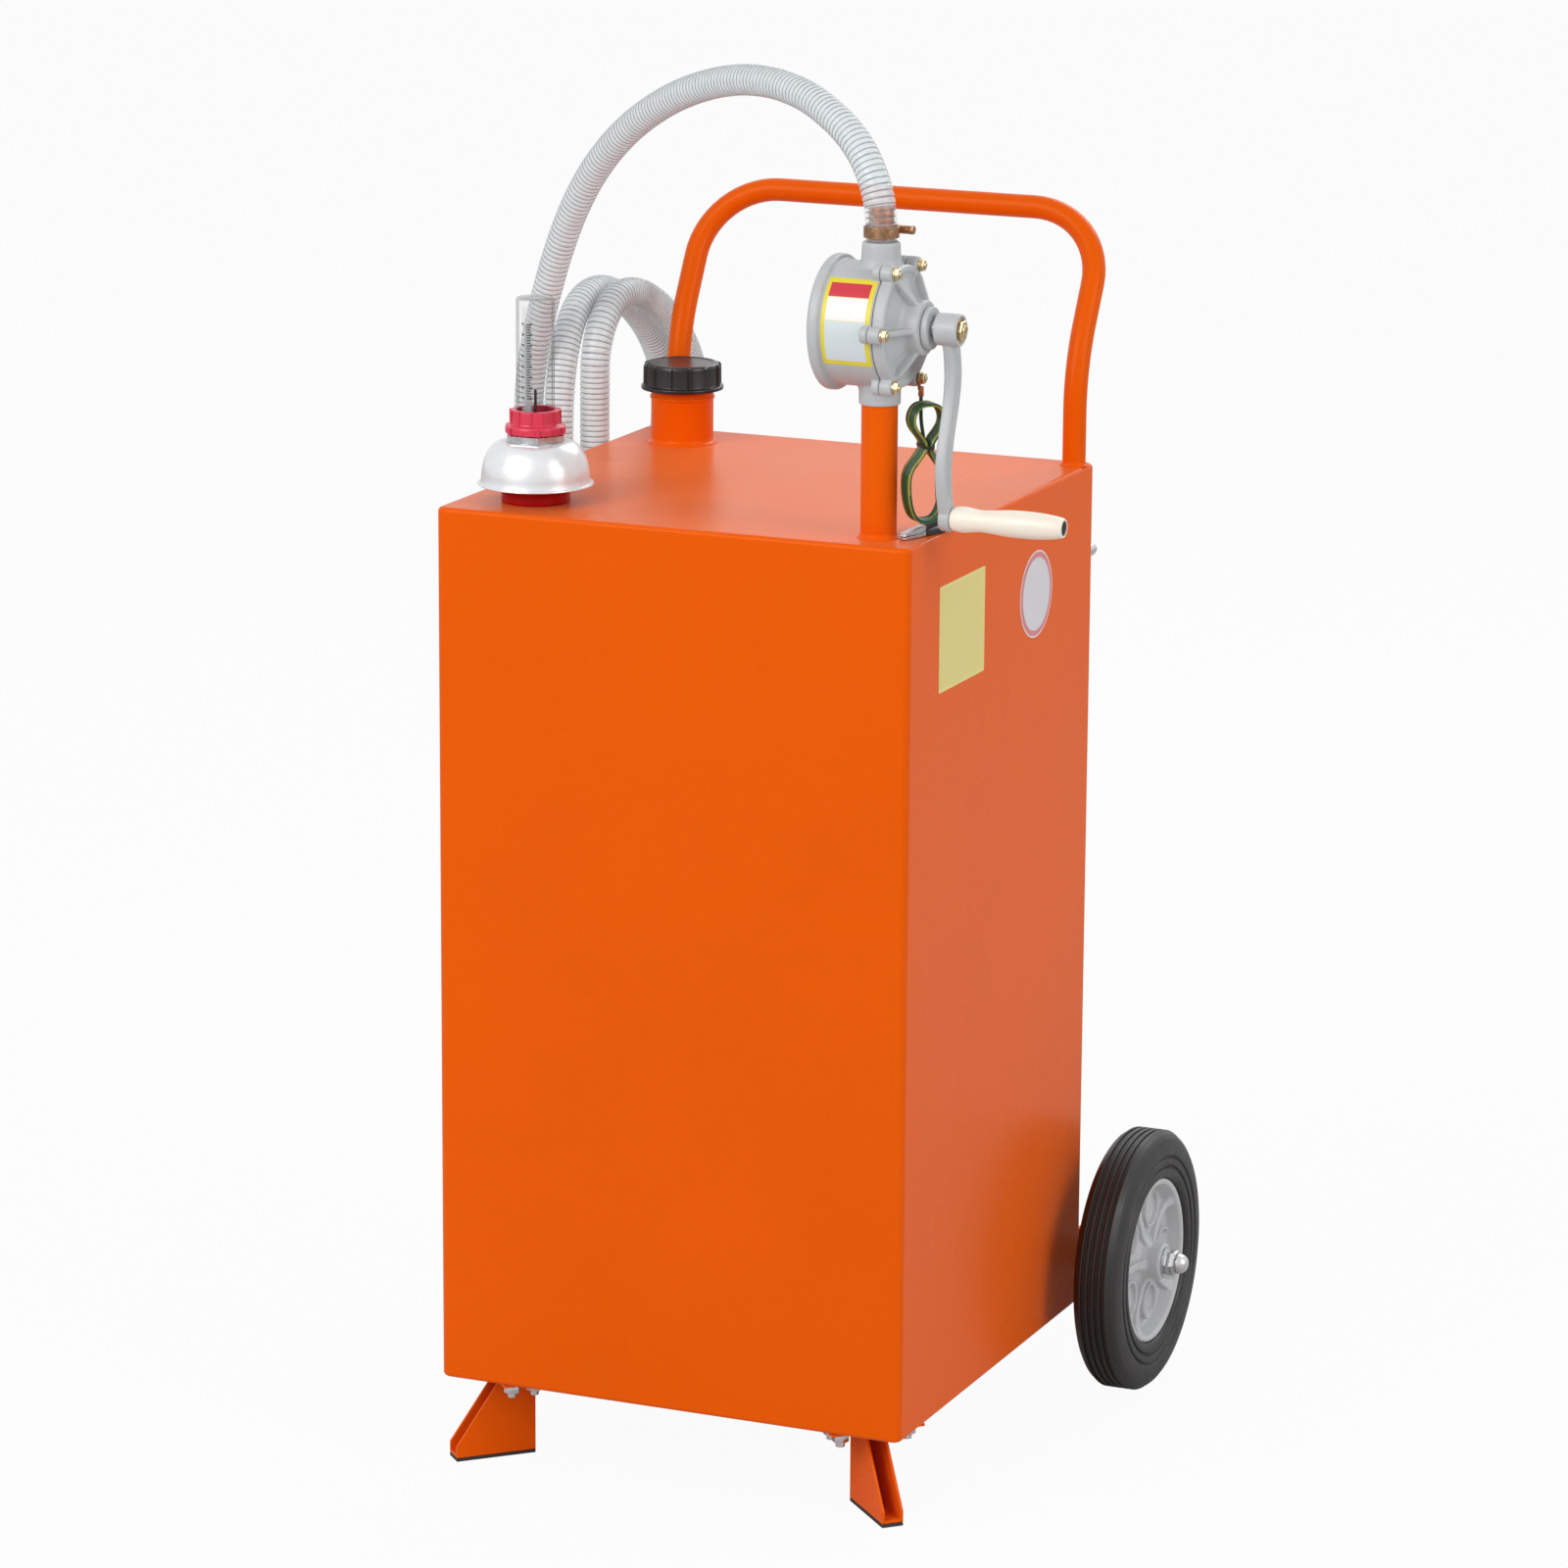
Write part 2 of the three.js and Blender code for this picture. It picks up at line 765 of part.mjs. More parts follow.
// The rod rises with the float, which hangs under the tank's top and stops the rod before the tube's end.
const floatTop = -gaugeStemBelow - floatClearance - rodTravel;
const rodTop = tubeBottom + rodShown;
add(
  gauge,
  "gauge_rod",
  disc(rodRadius, floatTop + seatGap, rodTop, 8),
  blackPlastic,
);
add(gauge, "gauge_float", disc(floatRadius, floatTop - floatHeight, floatTop, coarse), blackPlastic);

// Standpipe and suction tube, on the pump's vertical line.
const port = place(pumpX, pumpY, 0);
part.add(port);
const socketMouth = tankTop + standpipeFreeHeight;
const standpipeTop = socketMouth + socketDepth - seatGap;
add(
  port,
  "standpipe",
  turned(
    [
      [standpipeRadius - standpipeWall, tankTop],
      [weldRadius, tankTop],
      [weldRadius, tankTop + weldHeight / 3],
      [standpipeRadius, tankTop + weldHeight],
      [standpipeRadius, standpipeTop],
      [standpipeRadius - standpipeWall, standpipeTop],
      [standpipeRadius - standpipeWall, tankTop],
    ],
    medium,
  ),
  orangePaint,
);
const strainerBottom = groundClearance + tankWall + strainerFloorGap;
const strainerTop = strainerBottom + strainerHeight;
const suctionBottom = strainerBottom + strainerHeight / 2;
const suctionTop = socketMouth + socketDepth + socketDepth;
const suctionTube = pipe(suctionRadius, suctionRadius - suctionWall, suctionBottom, suctionTop, coarse);
add(port, "suction_tube", suctionTube, zincSteel);
add(
  port,
  "suction_strainer",
  pipe(strainerRadius, suctionRadius + seatGap, strainerBottom, strainerTop, coarse),
  blackPlastic,
);

// Pump, with its axis along X and its own zero on the axis above the standpipe.
const pump = place(pumpX, pumpY, pumpZ);
part.add(pump);

// One solid repeated round the pump's axis, from a copy that lies on the +Y side.
function roundAxis(made, count) {
  const copies = [];
  for (let k = 0; k < count; k++) copies.push(made.rotate([(360 * k) / count, 0, 0]));
  return copies;
}

function pumpBody() {
  const rear = -portToRear;
  const joint = portToJoint;
  const mouth = standpipeFreeHeight - pumpAxisHeight;
  const shell = turned(
    [
      [0, rear],
      [rearFlangeRadius - rearFlangeThickness / 3, rear],
      [rearFlangeRadius, rear + rearFlangeThickness / 3],
      [rearFlangeRadius, rear + rearFlangeThickness],
      [drumRadius, rear + rearFlangeThickness],
      [drumRadius, joint],
      [0, joint],
    ],
    fine,
    true,
  );
  const collar = disc(socketCollarRadius, mouth, 0, medium);
  const spigot = turned(
    [
      [0, 0],
      [spigotRadius, 0],
      [spigotRadius, drumRadius],
      [spigotEndRadius, spigotHeight],
      [barbRadius, spigotHeight],
      [barbRadius, spigotHeight + barbLength],
      [0, spigotHeight + barbLength],
    ],
    coarse,
  );
  const lug = shift(disc(lugRadius, joint - lugDepth, joint, coarse, true), 0, boltCircleRadius, 0);
  const hole = shift(
    disc(coverBoltRadius + seatGap, joint - coverBoltReach - overrun, joint + overrun, 8, true),
    0,
    boltCircleRadius,
    0,
  );
  const round = disc(chamberRadius, joint - chamberDepth, joint + overrun, fine, true);
  const chamber = shift(round, 0, chamberOffset, 0);
  const bearing = disc(shaftRadius + seatGap, joint - chamberDepth - shaftRadius, joint, coarse, true);
  const inlet = disc(inletBoreRadius, mouth - overrun, 0, coarse);
  const socket = disc(standpipeRadius + seatGap, mouth - overrun, mouth + socketDepth, medium);
  const outlet = disc(outletBoreRadius, 0, spigotHeight + barbLength + overrun, coarse);
  // The two ports are wider than the way to the joint, so they are flat where the cover lies on them.
  const seat = disc(coverFlangeRadius + runGap, joint, joint + spigotRadius, fine, true);
  const lugDisc = disc(lugRadius + runGap, joint, joint + spigotRadius, coarse, true);
  const lugSeat = shift(lugDisc, 0, boltCircleRadius, 0);
  const cuts = [chamber, bearing, inlet, socket, outlet, seat];
  let body = join(shell, collar, spigot, ...roundAxis(lug, coverBolts));
  cuts.push(...roundAxis(lugSeat, coverBolts), ...roundAxis(hole, coverBolts));
  for (const cut of cuts) body = body.subtract(cut);
  return body;
}

function pumpCover() {
  const joint = portToJoint + seatGap;
  const cone = turned(
    [
      [0, joint],
      [coverFlangeRadius, joint],
      [coverFlangeRadius, coverFace],
      [coverConeRadius, coverFace],
      [coverConeEndRadius, coverFace + coverConeLength],
      [coverBossRadius, coverFace + coverConeLength],
      [coverBossRadius, coverEnd],
      [0, coverEnd],
    ],
    fine,
    true,
  );
  const lug = shift(disc(lugRadius, joint, coverFace, coarse, true), 0, boltCircleRadius, 0);
  const ribRoot = coverBossRadius - coverRibThickness / 2;
  const ribEnd = boltCircleRadius - lugRadius;
  const rib = slab(
    [
      [coverFace - overrun, ribRoot],
      [coverEnd - overrun, ribRoot],
      [coverFace, ribEnd],
      [coverFace - overrun, ribEnd],
    ],
    -coverRibThickness / 2,
    coverRibThickness / 2,
  );
  const drill = disc(coverBoltRadius + seatGap, joint - overrun, coverFace + overrun, 8, true);
  const hole = shift(drill, 0, boltCircleRadius, 0);
  const bore = disc(shaftRadius + seatGap, joint - overrun, coverEnd + overrun, coarse, true);
  let cover = join(cone, ...roundAxis(lug, coverBolts), ...roundAxis(rib, coverBolts));
  for (const cut of [bore, ...roundAxis(hole, coverBolts)]) cover = cover.subtract(cut);
  return cover;
}

function pumpRotor() {
  const rear = portToJoint - chamberDepth + runGap;
  const front = portToJoint - runGap;
  const slotHalf = vaneThickness / 2 + seatGap;
  let rotor = pipe(rotorRadius, shaftRadius + seatGap, rear, front, medium, true);
  const slotEnd = rotorRadius + overrun;
  const slot = block(rear - overrun, front + overrun, -slotHalf, slotHalf, vaneRoot - seatGap, slotEnd);
  for (const cut of roundAxis(slot, vanes)) rotor = rotor.subtract(cut);
  return rotor;
}

function pumpShaft() {
  return turned(
    [
      [0, portToJoint - chamberDepth - shaftRadius + seatGap],
      [shaftRadius, portToJoint - chamberDepth - shaftRadius + seatGap],
      [shaftRadius, crankNutStart - seatGap],
      [crankStudRadius, crankNutStart - seatGap],
      [crankStudRadius, crankNutStart + crankNutHeight],
      [0, crankNutStart + crankNutHeight],
    ],
    coarse,
    true,
  );
}
add(pump, "pump_body", pumpBody(), greyCast);
add(pump, "pump_cover", pumpCover(), greyCast);
add(pump, "pump_rotor", pumpRotor(), zincSteel);
add(pump, "pump_shaft", pumpShaft(), zincSteel);
const gland = pipe(glandRadius, shaftRadius + seatGap, coverEnd + seatGap, glandEnd, medium, true);
add(pump, "pump_gland", gland, greyCast);

const vaneTip = rotorRadius + seatGap;
const vane = block(
  portToJoint - chamberDepth + runGap,
  portToJoint - runGap,
  -vaneThickness / 2,
  vaneThickness / 2,
  vaneRoot,
  vaneTip,
);
roundAxis(vane, vanes).forEach((made, k) => add(pump, "pump_vane_" + (k + 1), made, blackPlastic));

// The bolt that holds the ground wire's lug stands out by the lug's thickness.
const lugBolt = 5;
for (let k = 0; k < coverBolts; k++) {
  const under = coverFace + seatGap + (k === lugBolt ? lugSheet + seatGap : 0);
  const head = hexagon(coverBoltHeadAcross, under, under + coverBoltHeadHeight, true);
  const shankEnd = under + coverBoltHeadHeight / 2;
  const shank = disc(coverBoltRadius, portToJoint - coverBoltReach, shankEnd, 8, true);
  const bolt = shift(join(head, shank), 0, boltCircleRadius, 0).rotate([(360 * k) / coverBolts, 0, 0]);
  add(pump, "cover_bolt_" + (k + 1), bolt, brass);
}

// Crank: an S-shaped arm, hanging down at rest, with a wooden grip that turns on its spindle.
function armOutline() {
  const steps = 12;
  const near = [];
  const far = [];
  for (let k = 0; k <= steps; k++) {
    const share = k / steps;
    const middle = armCurve * Math.sin(2 * Math.PI * share);
    const half = armHalfWidthTop + (armHalfWidthEnd - armHalfWidthTop) * share;
    near.push([middle - half, -crankRadius * share]);
    far.unshift([middle + half, -crankRadius * share]);
  }
  return [...near, ...far];
}

function crankArm() {
  const hub = disc(hubRadius, hubRear, hubFront, medium, true);
  const arm = slabAlongX(armOutline(), armRear, armFront);
  const end = shift(disc(armEndRadius, armRear, armFront, medium, true), 0, 0, -crankRadius);
  const bore = disc(shaftRadius + seatGap, hubRear - overrun, hubFront + overrun, coarse, true);
  const recess = disc(hubRecessRadius, hubFront - hubRecessDepth, hubFront + overrun, medium, true);
  const eye = disc(spindleRadius + seatGap, armRear - overrun, armFront + overrun, coarse, true);
  return join(hub, arm, end)
    .subtract(bore)
    .subtract(recess)
    .subtract(shift(eye, 0, 0, -crankRadius));
}

function crankGrip() {
  const bore = spindleRadius + runGap;
  const recess = spindleHeadRadius + runGap;
  const outer = gripRadiusShares.map(([along, across]) => [
    gripRadius * across,
    gripStart + gripLength * along,
  ]);
  return turned(
    [
      [bore, gripStart],
      ...outer,
      [recess, gripEnd],
      [recess, gripEnd - gripRecessDepth],
      [bore, gripEnd - gripRecessDepth],
      [bore, gripStart],
    ],
    coarse,
    true,
  );
}

function gripSpindle() {
  const headStart = gripEnd - gripRecessDepth + runGap;
  return turned(
    [
      [0, armRear],
      [spindleRadius, armRear],
      [spindleRadius, headStart],
      [spindleHeadRadius, headStart],
      [spindleHeadRadius, headStart + spindleHeadHeight],
      [0, headStart + spindleHeadHeight],
    ],
    coarse,
    true,
  );
}
add(pump, "crank_arm", crankArm(), greyCast);
add(
  pump,
  "crank_nut",
  hexagon(crankNutAcross, crankNutStart, crankNutStart + crankNutHeight, true).subtract(
    disc(
      crankStudRadius + seatGap,
      crankNutStart - overrun,
      hubFront + crankNutHeight + overrun,
      coarse,
      true,
    ),
  ),
  brass,
);
const gripLine = place(0, 0, -crankRadius);
pump.add(gripLine);
add(gripLine, "grip_spindle", gripSpindle(), zincSteel);
add(gripLine, "crank_grip", crankGrip(), creamWood);

// Handle: one bent tube, upright at its feet, then leaning back to the bar.
const handleRight = tankRight - handleRightFromEdge;
const handleLeft = handleLeftFromEdge - tankRight;
const handleY = tankBack - handleFromBack;
const barY = handleY + (handleHeight - handleBendHeight) * Math.tan(handleLean);
const handleCorners = [
  new THREE.Vector3(handleRight, handleY, tankTop),
  new THREE.Vector3(handleRight, handleY, tankTop + handleBendHeight),
  new THREE.Vector3(handleRight, barY, tankTop + handleHeight),
  new THREE.Vector3(handleLeft, barY, tankTop + handleHeight),
  new THREE.Vector3(handleLeft, handleY, tankTop + handleBendHeight),
  new THREE.Vector3(handleLeft, handleY, tankTop),
];
const handleRadii = [handleBendRadius, handleCornerRadius, handleCornerRadius, handleBendRadius];
add(part, "handle", bar(rounded(handleCorners, handleRadii, 5), handleTubeRadius, 10), orangePaint);

// Wheels, turning on one axle behind the tank.
const running = place(0, axleY, wheelRadius);
part.add(running);

function tyreProfile() {
  const inner = rimRadius;
  const tread = tyreWidth - 2 * tyreShoulder;
  const step = tread / tyreGrooves;
  const profile = [
    [inner, tyreInner + rimInset],
    [inner + rimLip, tyreInner],
    [wheelRadius - tyreShoulder, tyreInner],
    [wheelRadius, tyreInner + tyreShoulder],
  ];
  for (let k = 0; k < tyreGrooves; k++) {
    const middle = tyreInner + tyreShoulder + step * (k + 1 / 2);
    profile.push([wheelRadius, middle - tyreGrooveWidth / 2]);
    profile.push([wheelRadius - tyreGrooveDepth, middle]);
    profile.push([wheelRadius, middle + tyreGrooveWidth / 2]);
  }
  profile.push([wheelRadius, tyreOuter - tyreShoulder]);
  profile.push([wheelRadius - tyreShoulder, tyreOuter]);
  profile.push([inner + rimLip, tyreOuter]);
  profile.push([inner, tyreOuter - rimInset]);
  profile.push([inner, tyreInner + rimInset]);
  return profile;
}

function hubProfile() {
  const bore = axleRadius + seatGap;
  const rim = rimRadius - seatGap;
  const webRear = (tyreInner + tyreOuter - webThickness) / 2;
  const bossInner = tankRight + runGap;
  return [
    [bore, bossInner],
    [hubBossRadius, bossInner],
    [hubBossRadius, webRear],
    [rim - rimLip, webRear],
    [rim - rimLip, tyreInner + rimInset],
    [rim, tyreInner + rimInset],
    [rim, tyreOuter - rimInset],
    [rim - rimLip, tyreOuter - rimInset],
    [rim - rimLip, webRear + webThickness],
    [hubBossRadius, webRear + webThickness],
    [hubBossRadius, hubOuter],
    [bore, hubOuter],
    [bore, bossInner],
  ];
}

function axleNut() {
  const start = hubOuter + runGap;
  const hexEnd = start + axleNutHeight;
  const dome = turned(
    [
      [0, hexEnd - axleDomeHeight / 2],
      [axleDomeRadius, hexEnd - axleDomeHeight / 2],
      [axleDomeRadius, hexEnd + axleDomeHeight / 3],
      [axleDomeRadius / Math.SQRT2, axleNutEnd - axleDomeHeight / 4],
      [0, axleNutEnd],
    ],
    coarse,
    true,
  );
  const bore = disc(axleRadius + seatGap - axleRadius / 4, start - overrun, hexEnd, coarse, true);
  return join(hexagon(axleNutAcross, start, hexEnd, true), dome).subtract(bore);
}

const axleShoulder = hubOuter + runGap - seatGap;
const axleStud = axleShoulder + axleNutHeight - seatGap;
const studRadius = axleRadius - axleRadius / 4;
add(
  running,
  "axle",
  turned(
    [
      [0, -axleStud],
      [studRadius, -axleStud],
      [studRadius, -axleShoulder],
      [axleRadius, -axleShoulder],
      [axleRadius, axleShoulder],
      [studRadius, axleShoulder],
      [studRadius, axleStud],
      [0, axleStud],
    ],
    coarse,
    true,
  ),
  zincSteel,
);

for (const side of [-1, 1]) {
  const name = side < 0 ? "left" : "right";
  const mirrored = (profile) => turned(profile.map(([radius, x]) => [radius, side * x]), fine, true);
  add(running, "tyre_" + name, mirrored(tyreProfile()), darkRubber);
  add(running, "wheel_hub_" + name, mirrored(hubProfile()), greyPlastic);
  add(running, "axle_nut_" + name, side < 0 ? axleNut().mirror([1, 0, 0]) : axleNut(), zincSteel);
  const outer = side * (tankRight - seatGap);
  const inner = outer - side * bracketThickness;
  const [low, high] = [Math.min(outer, inner), Math.max(outer, inner)];
  const face = seatGap - axleBehindTank;
  const half = bracketHeight / 2;
  const outline = [
    [face, -half],
    [face + bracketReach, -half],
    [bracketReach, -half / 2],
    [bracketReach, half / 2],
    [face + bracketReach, half],
    [face, half],
  ];
  const plate = slabAlongX(outline, low, high);
  const hole = disc(axleRadius + seatGap, low - overrun, high + overrun, coarse, true);
  add(running, "axle_bracket_" + name, plate.subtract(hole), orangePaint);
}

// Feet: channels that open outward, on the diagonals of the two front corners, on rubber pads.
// In a foot's own frame X runs out along the diagonal from the tank's middle, and Z starts at its bottom.
const footInner = cornerDiagonal - footInnerFromCorner;
const footToe = cornerDiagonal - footToeFromCorner;
const footTop = cornerDiagonal - footTopFromCorner;
const plateBottom = footPadThickness + seatGap - groundClearance;

function foot() {
  const side = [
    [footInner, -seatGap],
    [footInner, plateBottom],
    [footToe, plateBottom],
    [footToe, plateBottom + footToeHeight],
    [footTop, -seatGap],
  ];
  const outer = footWidth / 2;
  const inner = outer - footSheet;
  const hollow = [
    [footInner + footSheet, -seatGap - footSheet],
    [footInner + footSheet, plateBottom + footSheet],
    [footToe + overrun, plateBottom + footSheet],
    [footToe + overrun, -seatGap - footSheet],
  ];
  const channel = slabAcross(side, outer);
  const space = slabAcross(hollow, inner);
  const wing = outer + footFlangeOut;
  const flangeEnd = footInner + footFlangeLength;
  const flange = block(footInner, flangeEnd, -wing, wing, -seatGap - footSheet, -seatGap);
  return join(channel.subtract(space), flange);
}

function footPad() {
  const top = footPadThickness - groundClearance;
  return block(footInner, footToe, -footWidth / 2, footWidth / 2, -groundClearance, top);
}
for (const side of [-1, 1]) {
  const name = side < 0 ? "left" : "right";
  const corner = place(0, 0, groundClearance);
  corner.rotation.z = Math.atan2(-tankBack, side * tankRight);
  part.add(corner);
  add(corner, "foot_" + name, foot(), orangePaint);
  add(corner, "foot_pad_" + name, footPad(), darkRubber);
}

// Rear post: a rounded peg on the rear wall.
const post = place(tankRight - postFromRight, tankBack, tankTop - postBelowTop);
part.add(post);
const postSolid = turned(
  [
    [0, seatGap],
    [postRadius, seatGap],
    [postRadius, postLength - postRadius],
    [postRadius / Math.SQRT2, postLength - postRadius / 3],
    [0, postLength],
  ],
  coarse,
);
add(post, "rear_post", postSolid.rotate([-90, 0, 0]), zincSteel);

// Hose: an arch from the pump over the tank to the left side, then loops that hang outside the left wall,
// and a last run that drops inside them to the spout.
const hoseRadius = hoseDiameter / 2;
const tailX = -tankRight - coilFromTank - hoseRadius;
const coilX = tailX - coilOut;
const coilY = tankBack - coilFrontFromBack + coilRadius - coilCornerOut;

// Each turn is a triangle with very round corners, its first side upright at the front. At its top the
// slope is level, which gives the cosine of the angle there.
const cornerShare = (8 * coilCornerOut) / coilRadius;
const topCosine = (Math.sqrt(1 + cornerShare * (cornerShare / 2)) - 1) / cornerShare;
const coilTurns = 2 - Math.acos(topCosine) / (2 * Math.PI);
const coilRise = Math.sqrt(1 - topCosine ** 2) * (coilRadius + 2 * coilCornerOut * topCosine);
const coilZ = tankTop + coilTopHeight - coilRise;

// A point of the coil after a number of turns from its front, where it runs down.
function coilPoint(turn) {
  const angle = 2 * Math.PI * turn;
  const back = coilCornerOut * Math.cos(2 * angle) - coilRadius * Math.cos(angle);
  const up = -coilCornerOut * Math.sin(2 * angle) - coilRadius * Math.sin(angle);
  return new THREE.Vector3(coilX + coilPitch * turn, coilY + back, coilZ + up);
}

// The arch's points by hand: shares of the way across the plan from the spigot to the coil, and of the
// arch's rise over the spigot's shoulder.
const archShares = [
  [0, 0],
  [0, 0.068],
  [0.005, 0.232],
  [0.0168, 0.366],
  [0.0335, 0.476],
  [0.055, 0.578],
  [0.083, 0.67],
  [0.118, 0.752],
  [0.187, 0.862],
  [0.26, 0.916],
  [0.335, 0.922],
  [0.41, 0.885],
  [0.484, 0.812],
  [0.558, 0.707],
  [0.629, 0.572],
  [0.696, 0.41],
  [0.757, 0.22],
  [0.812, 0],
  [0.859, -0.248],
  [0.899, -0.522],
  [0.934, -0.82],
  [0.963, -1.12],
  [0.986, -1.42],
  [0.9985, -1.7],
];
const spigotShoulder = new THREE.Vector3(pumpX, pumpY, pumpZ + spigotHeight + seatGap);
const coilStart = coilPoint(0);
const acrossTop = new THREE.Vector3(coilStart.x - pumpX, coilStart.y - pumpY, 0);

function archCurve() {
  const points = archShares.map(([along, up]) =>
    spigotShoulder.clone().addScaledVector(acrossTop, along).add(new THREE.Vector3(0, 0, archRise * up)),
  );
  const above = coilStart.clone().setZ(coilStart.z + hoseDiameter);
  const end = coilStart.clone().setZ(coilStart.z + seatGap);
  return new THREE.CatmullRomCurve3([...points, above, end], false, "centripetal");
}

// A ribbed tube with its bore along a curve, as one closed chain of rings: out along the ribs, and back
// along the bore.
function ribbedTube(curve) {
  const outside = [[0, hoseRadius]];
  for (let rib = 0; rib < hoseRibs; rib++) {
    outside.push([(rib + 1 / 4) / hoseRibs, hoseRadius - hoseValleyDepth]);
    outside.push([(rib + 3 / 4) / hoseRibs, hoseRadius]);
  }
  outside.push([1, hoseRadius]);
  const inside = [];
  for (let rib = hoseRibs; rib >= 0; rib -= ribsPerBoreRing) inside.push([rib / hoseRibs, hoseBoreRadius]);
  const samples = 400;
  const frames = curve.computeFrenetFrames(samples, false);
  const positions = [];
  for (const [share, radius] of [...outside, ...inside]) {
    const centre = curve.getPointAt(share);
    const i = Math.round(share * samples);
    for (let k = 0; k < hoseRingPoints; k++) {
      const angle = (2 * Math.PI * k) / hoseRingPoints;
      const point = centre
        .clone()
        .addScaledVector(frames.normals[i], radius * Math.cos(angle))
        .addScaledVector(frames.binormals[i], radius * Math.sin(angle));
      positions.push(point.x, point.y, point.z);
    }
  }
  const rings = positions.length / (3 * hoseRingPoints);
  const index = [];
  for (let ring = 0; ring < rings; ring++)
    for (let k = 0; k < hoseRingPoints; k++) {
      const next = ((ring + 1) % rings) * hoseRingPoints;
      const a = ring * hoseRingPoints + k;
      const b = ring * hoseRingPoints + ((k + 1) % hoseRingPoints);
      const c = next + k;
      const d = next + ((k + 1) % hoseRingPoints);
      index.push(a, b, c, b, d, c);
    }
  const tube = new THREE.BufferGeometry();
  tube.setAttribute("position", new THREE.Float32BufferAttribute(positions, 3));
  tube.setIndex(index);
  return solid(tube);
}

// The coil's stations: the turns, the last bend down inside them, and the straight tail outside the wall.
function coilStations() {
  const perTurn = 24;
  const stations = [coilStart, coilStart.clone().setZ(coilStart.z - hoseDiameter / 4)];
  const steps = Math.floor(perTurn * coilTurns);
  for (let k = 1; k < steps; k++) stations.push(coilPoint(k / perTurn));
  const top = coilPoint(coilTurns);
  stations.push(top);
  const bendSteps = 6;
  const bendLength = (Math.PI / 2) * tailBendRadius;
  const settleSteps = 4;
  const settleFrom = bendLength * tailSettleShare;
  const outwards = (along) =>
    top.x + (tailX - top.x) * THREE.MathUtils.smoothstep(along, settleFrom, bendLength + tailSettle);
  for (let k = 1; k <= bendSteps; k++) {
    const angle = ((Math.PI / 2) * k) / bendSteps;
    const y = top.y - tailBendRadius * Math.sin(angle);
    const z = top.z - tailBendRadius * (1 - Math.cos(angle));
    stations.push(new THREE.Vector3(outwards(tailBendRadius * angle), y, z));
  }
  const bendEnd = stations.at(-1);
  for (let k = 1; k <= settleSteps; k++) {
    const down = (tailSettle * k) / settleSteps;
    stations.push(new THREE.Vector3(outwards(bendLength + down), bendEnd.y, bendEnd.z - down));
  }
  stations.push(new THREE.Vector3(tailX, bendEnd.y, bendEnd.z - tailSettle - tailStraight));
  return stations;
}
const arch = archCurve();
const coil = coilStations();
const down = new THREE.Vector3(0, 0, -1);
const coilRoute = new Route(coil);
coilRoute.directions[0] = down;
coilRoute.directions[coil.length - 1] = down;
add(part, "hose_arch", ribbedTube(arch), clearPlastic);
add(part, "hose_coil", bar(coilRoute, hoseRadius, 6), clearPlastic);
console.log("hose length", (arch.getLength() + lengthOf(coil)).toFixed(0));
console.log("hose coil's least gap to itself", leastGap(coil, hoseDiameter).toFixed(2));

const tailEnd = coil.at(-1);
const spout = place(tailEnd.x, tailEnd.y, tailEnd.z - seatGap);
part.add(spout);
add(
  spout,
  "hose_spout",
  turned(
    [
      [spoutBoreRadius, 0],
      [spoutCollarRadius, 0],
      [spoutCollarRadius, -spoutCollarHeight],
      [spoutRadius, -spoutCollarHeight],
      [spoutEndRadius, -spoutLength],
      [spoutBoreRadius, -spoutLength],
      [spoutBoreRadius, 0],
    ],
    coarse,
  ),
  whitePlastic,
);

// Worm clamp: a band round the hose with its screw behind it, along X.
const clampInner = hoseRadius + seatGap;
const clampOuter = clampInner + clampBand;
const clamp = place(spigotShoulder.x, spigotShoulder.y, spigotShoulder.z + clampAboveSpigot);
part.add(clamp);
const screwY = clampOuter + clampScrewRadius - clampBand / 2;
const screwMiddle = clampWidth / 2;
const screwStart = -clampHousingLength / 2;
const clampScrew = disc(clampScrewRadius, screwStart, screwStart + clampScrewLength, coarse, true);
add(
  clamp,
  "hose_clamp",
  join(
    pipe(clampOuter, clampInner, 0, clampWidth, medium),
    shift(clampScrew, 0, screwY, screwMiddle),
    block(
      -clampHousingLength / 2,
      clampHousingLength / 2,
      clampOuter - clampBand / 2,
      screwY,
      0,
      clampWidth,
    ),
  ),
  copper,
);

// Strap: a band round the coil's two front runs.
const strapTurn = strapTurnShare;
const strapCentre = coilPoint(strapTurn).add(coilPoint(strapTurn + 1)).multiplyScalar(1 / 2);
const strapWay = coilPoint(strapTurn + strapTurnShare / 2).sub(coilPoint(strapTurn - strapTurnShare / 2));
const strap = place(strapCentre.x, strapCentre.y, strapCentre.z);
strap.rotation.x = Math.atan2(strapWay.y, -strapWay.z);
part.add(strap);

function stadium(radius, from, to) {
  const steps = 8;
  const points = [];
  for (const side of [1, -1])
    for (let k = 0; k <= steps; k++) {
      const angle = side * (Math.PI / 2) * -1 + (Math.PI * k) / steps;
      points.push([side * (coilPitch / 2) + radius * Math.cos(angle), radius * Math.sin(angle)]);
    }
  return slab(points, from, to);
}
const strapInner = hoseRadius + strapSlack;
add(
  strap,
  "hose_strap",
  stadium(strapInner + strapThickness, -strapWidth / 2, strapWidth / 2).subtract(
    stadium(strapInner, -strapWidth / 2 - overrun, strapWidth / 2 + overrun),
  ),
  blackPlastic,
);

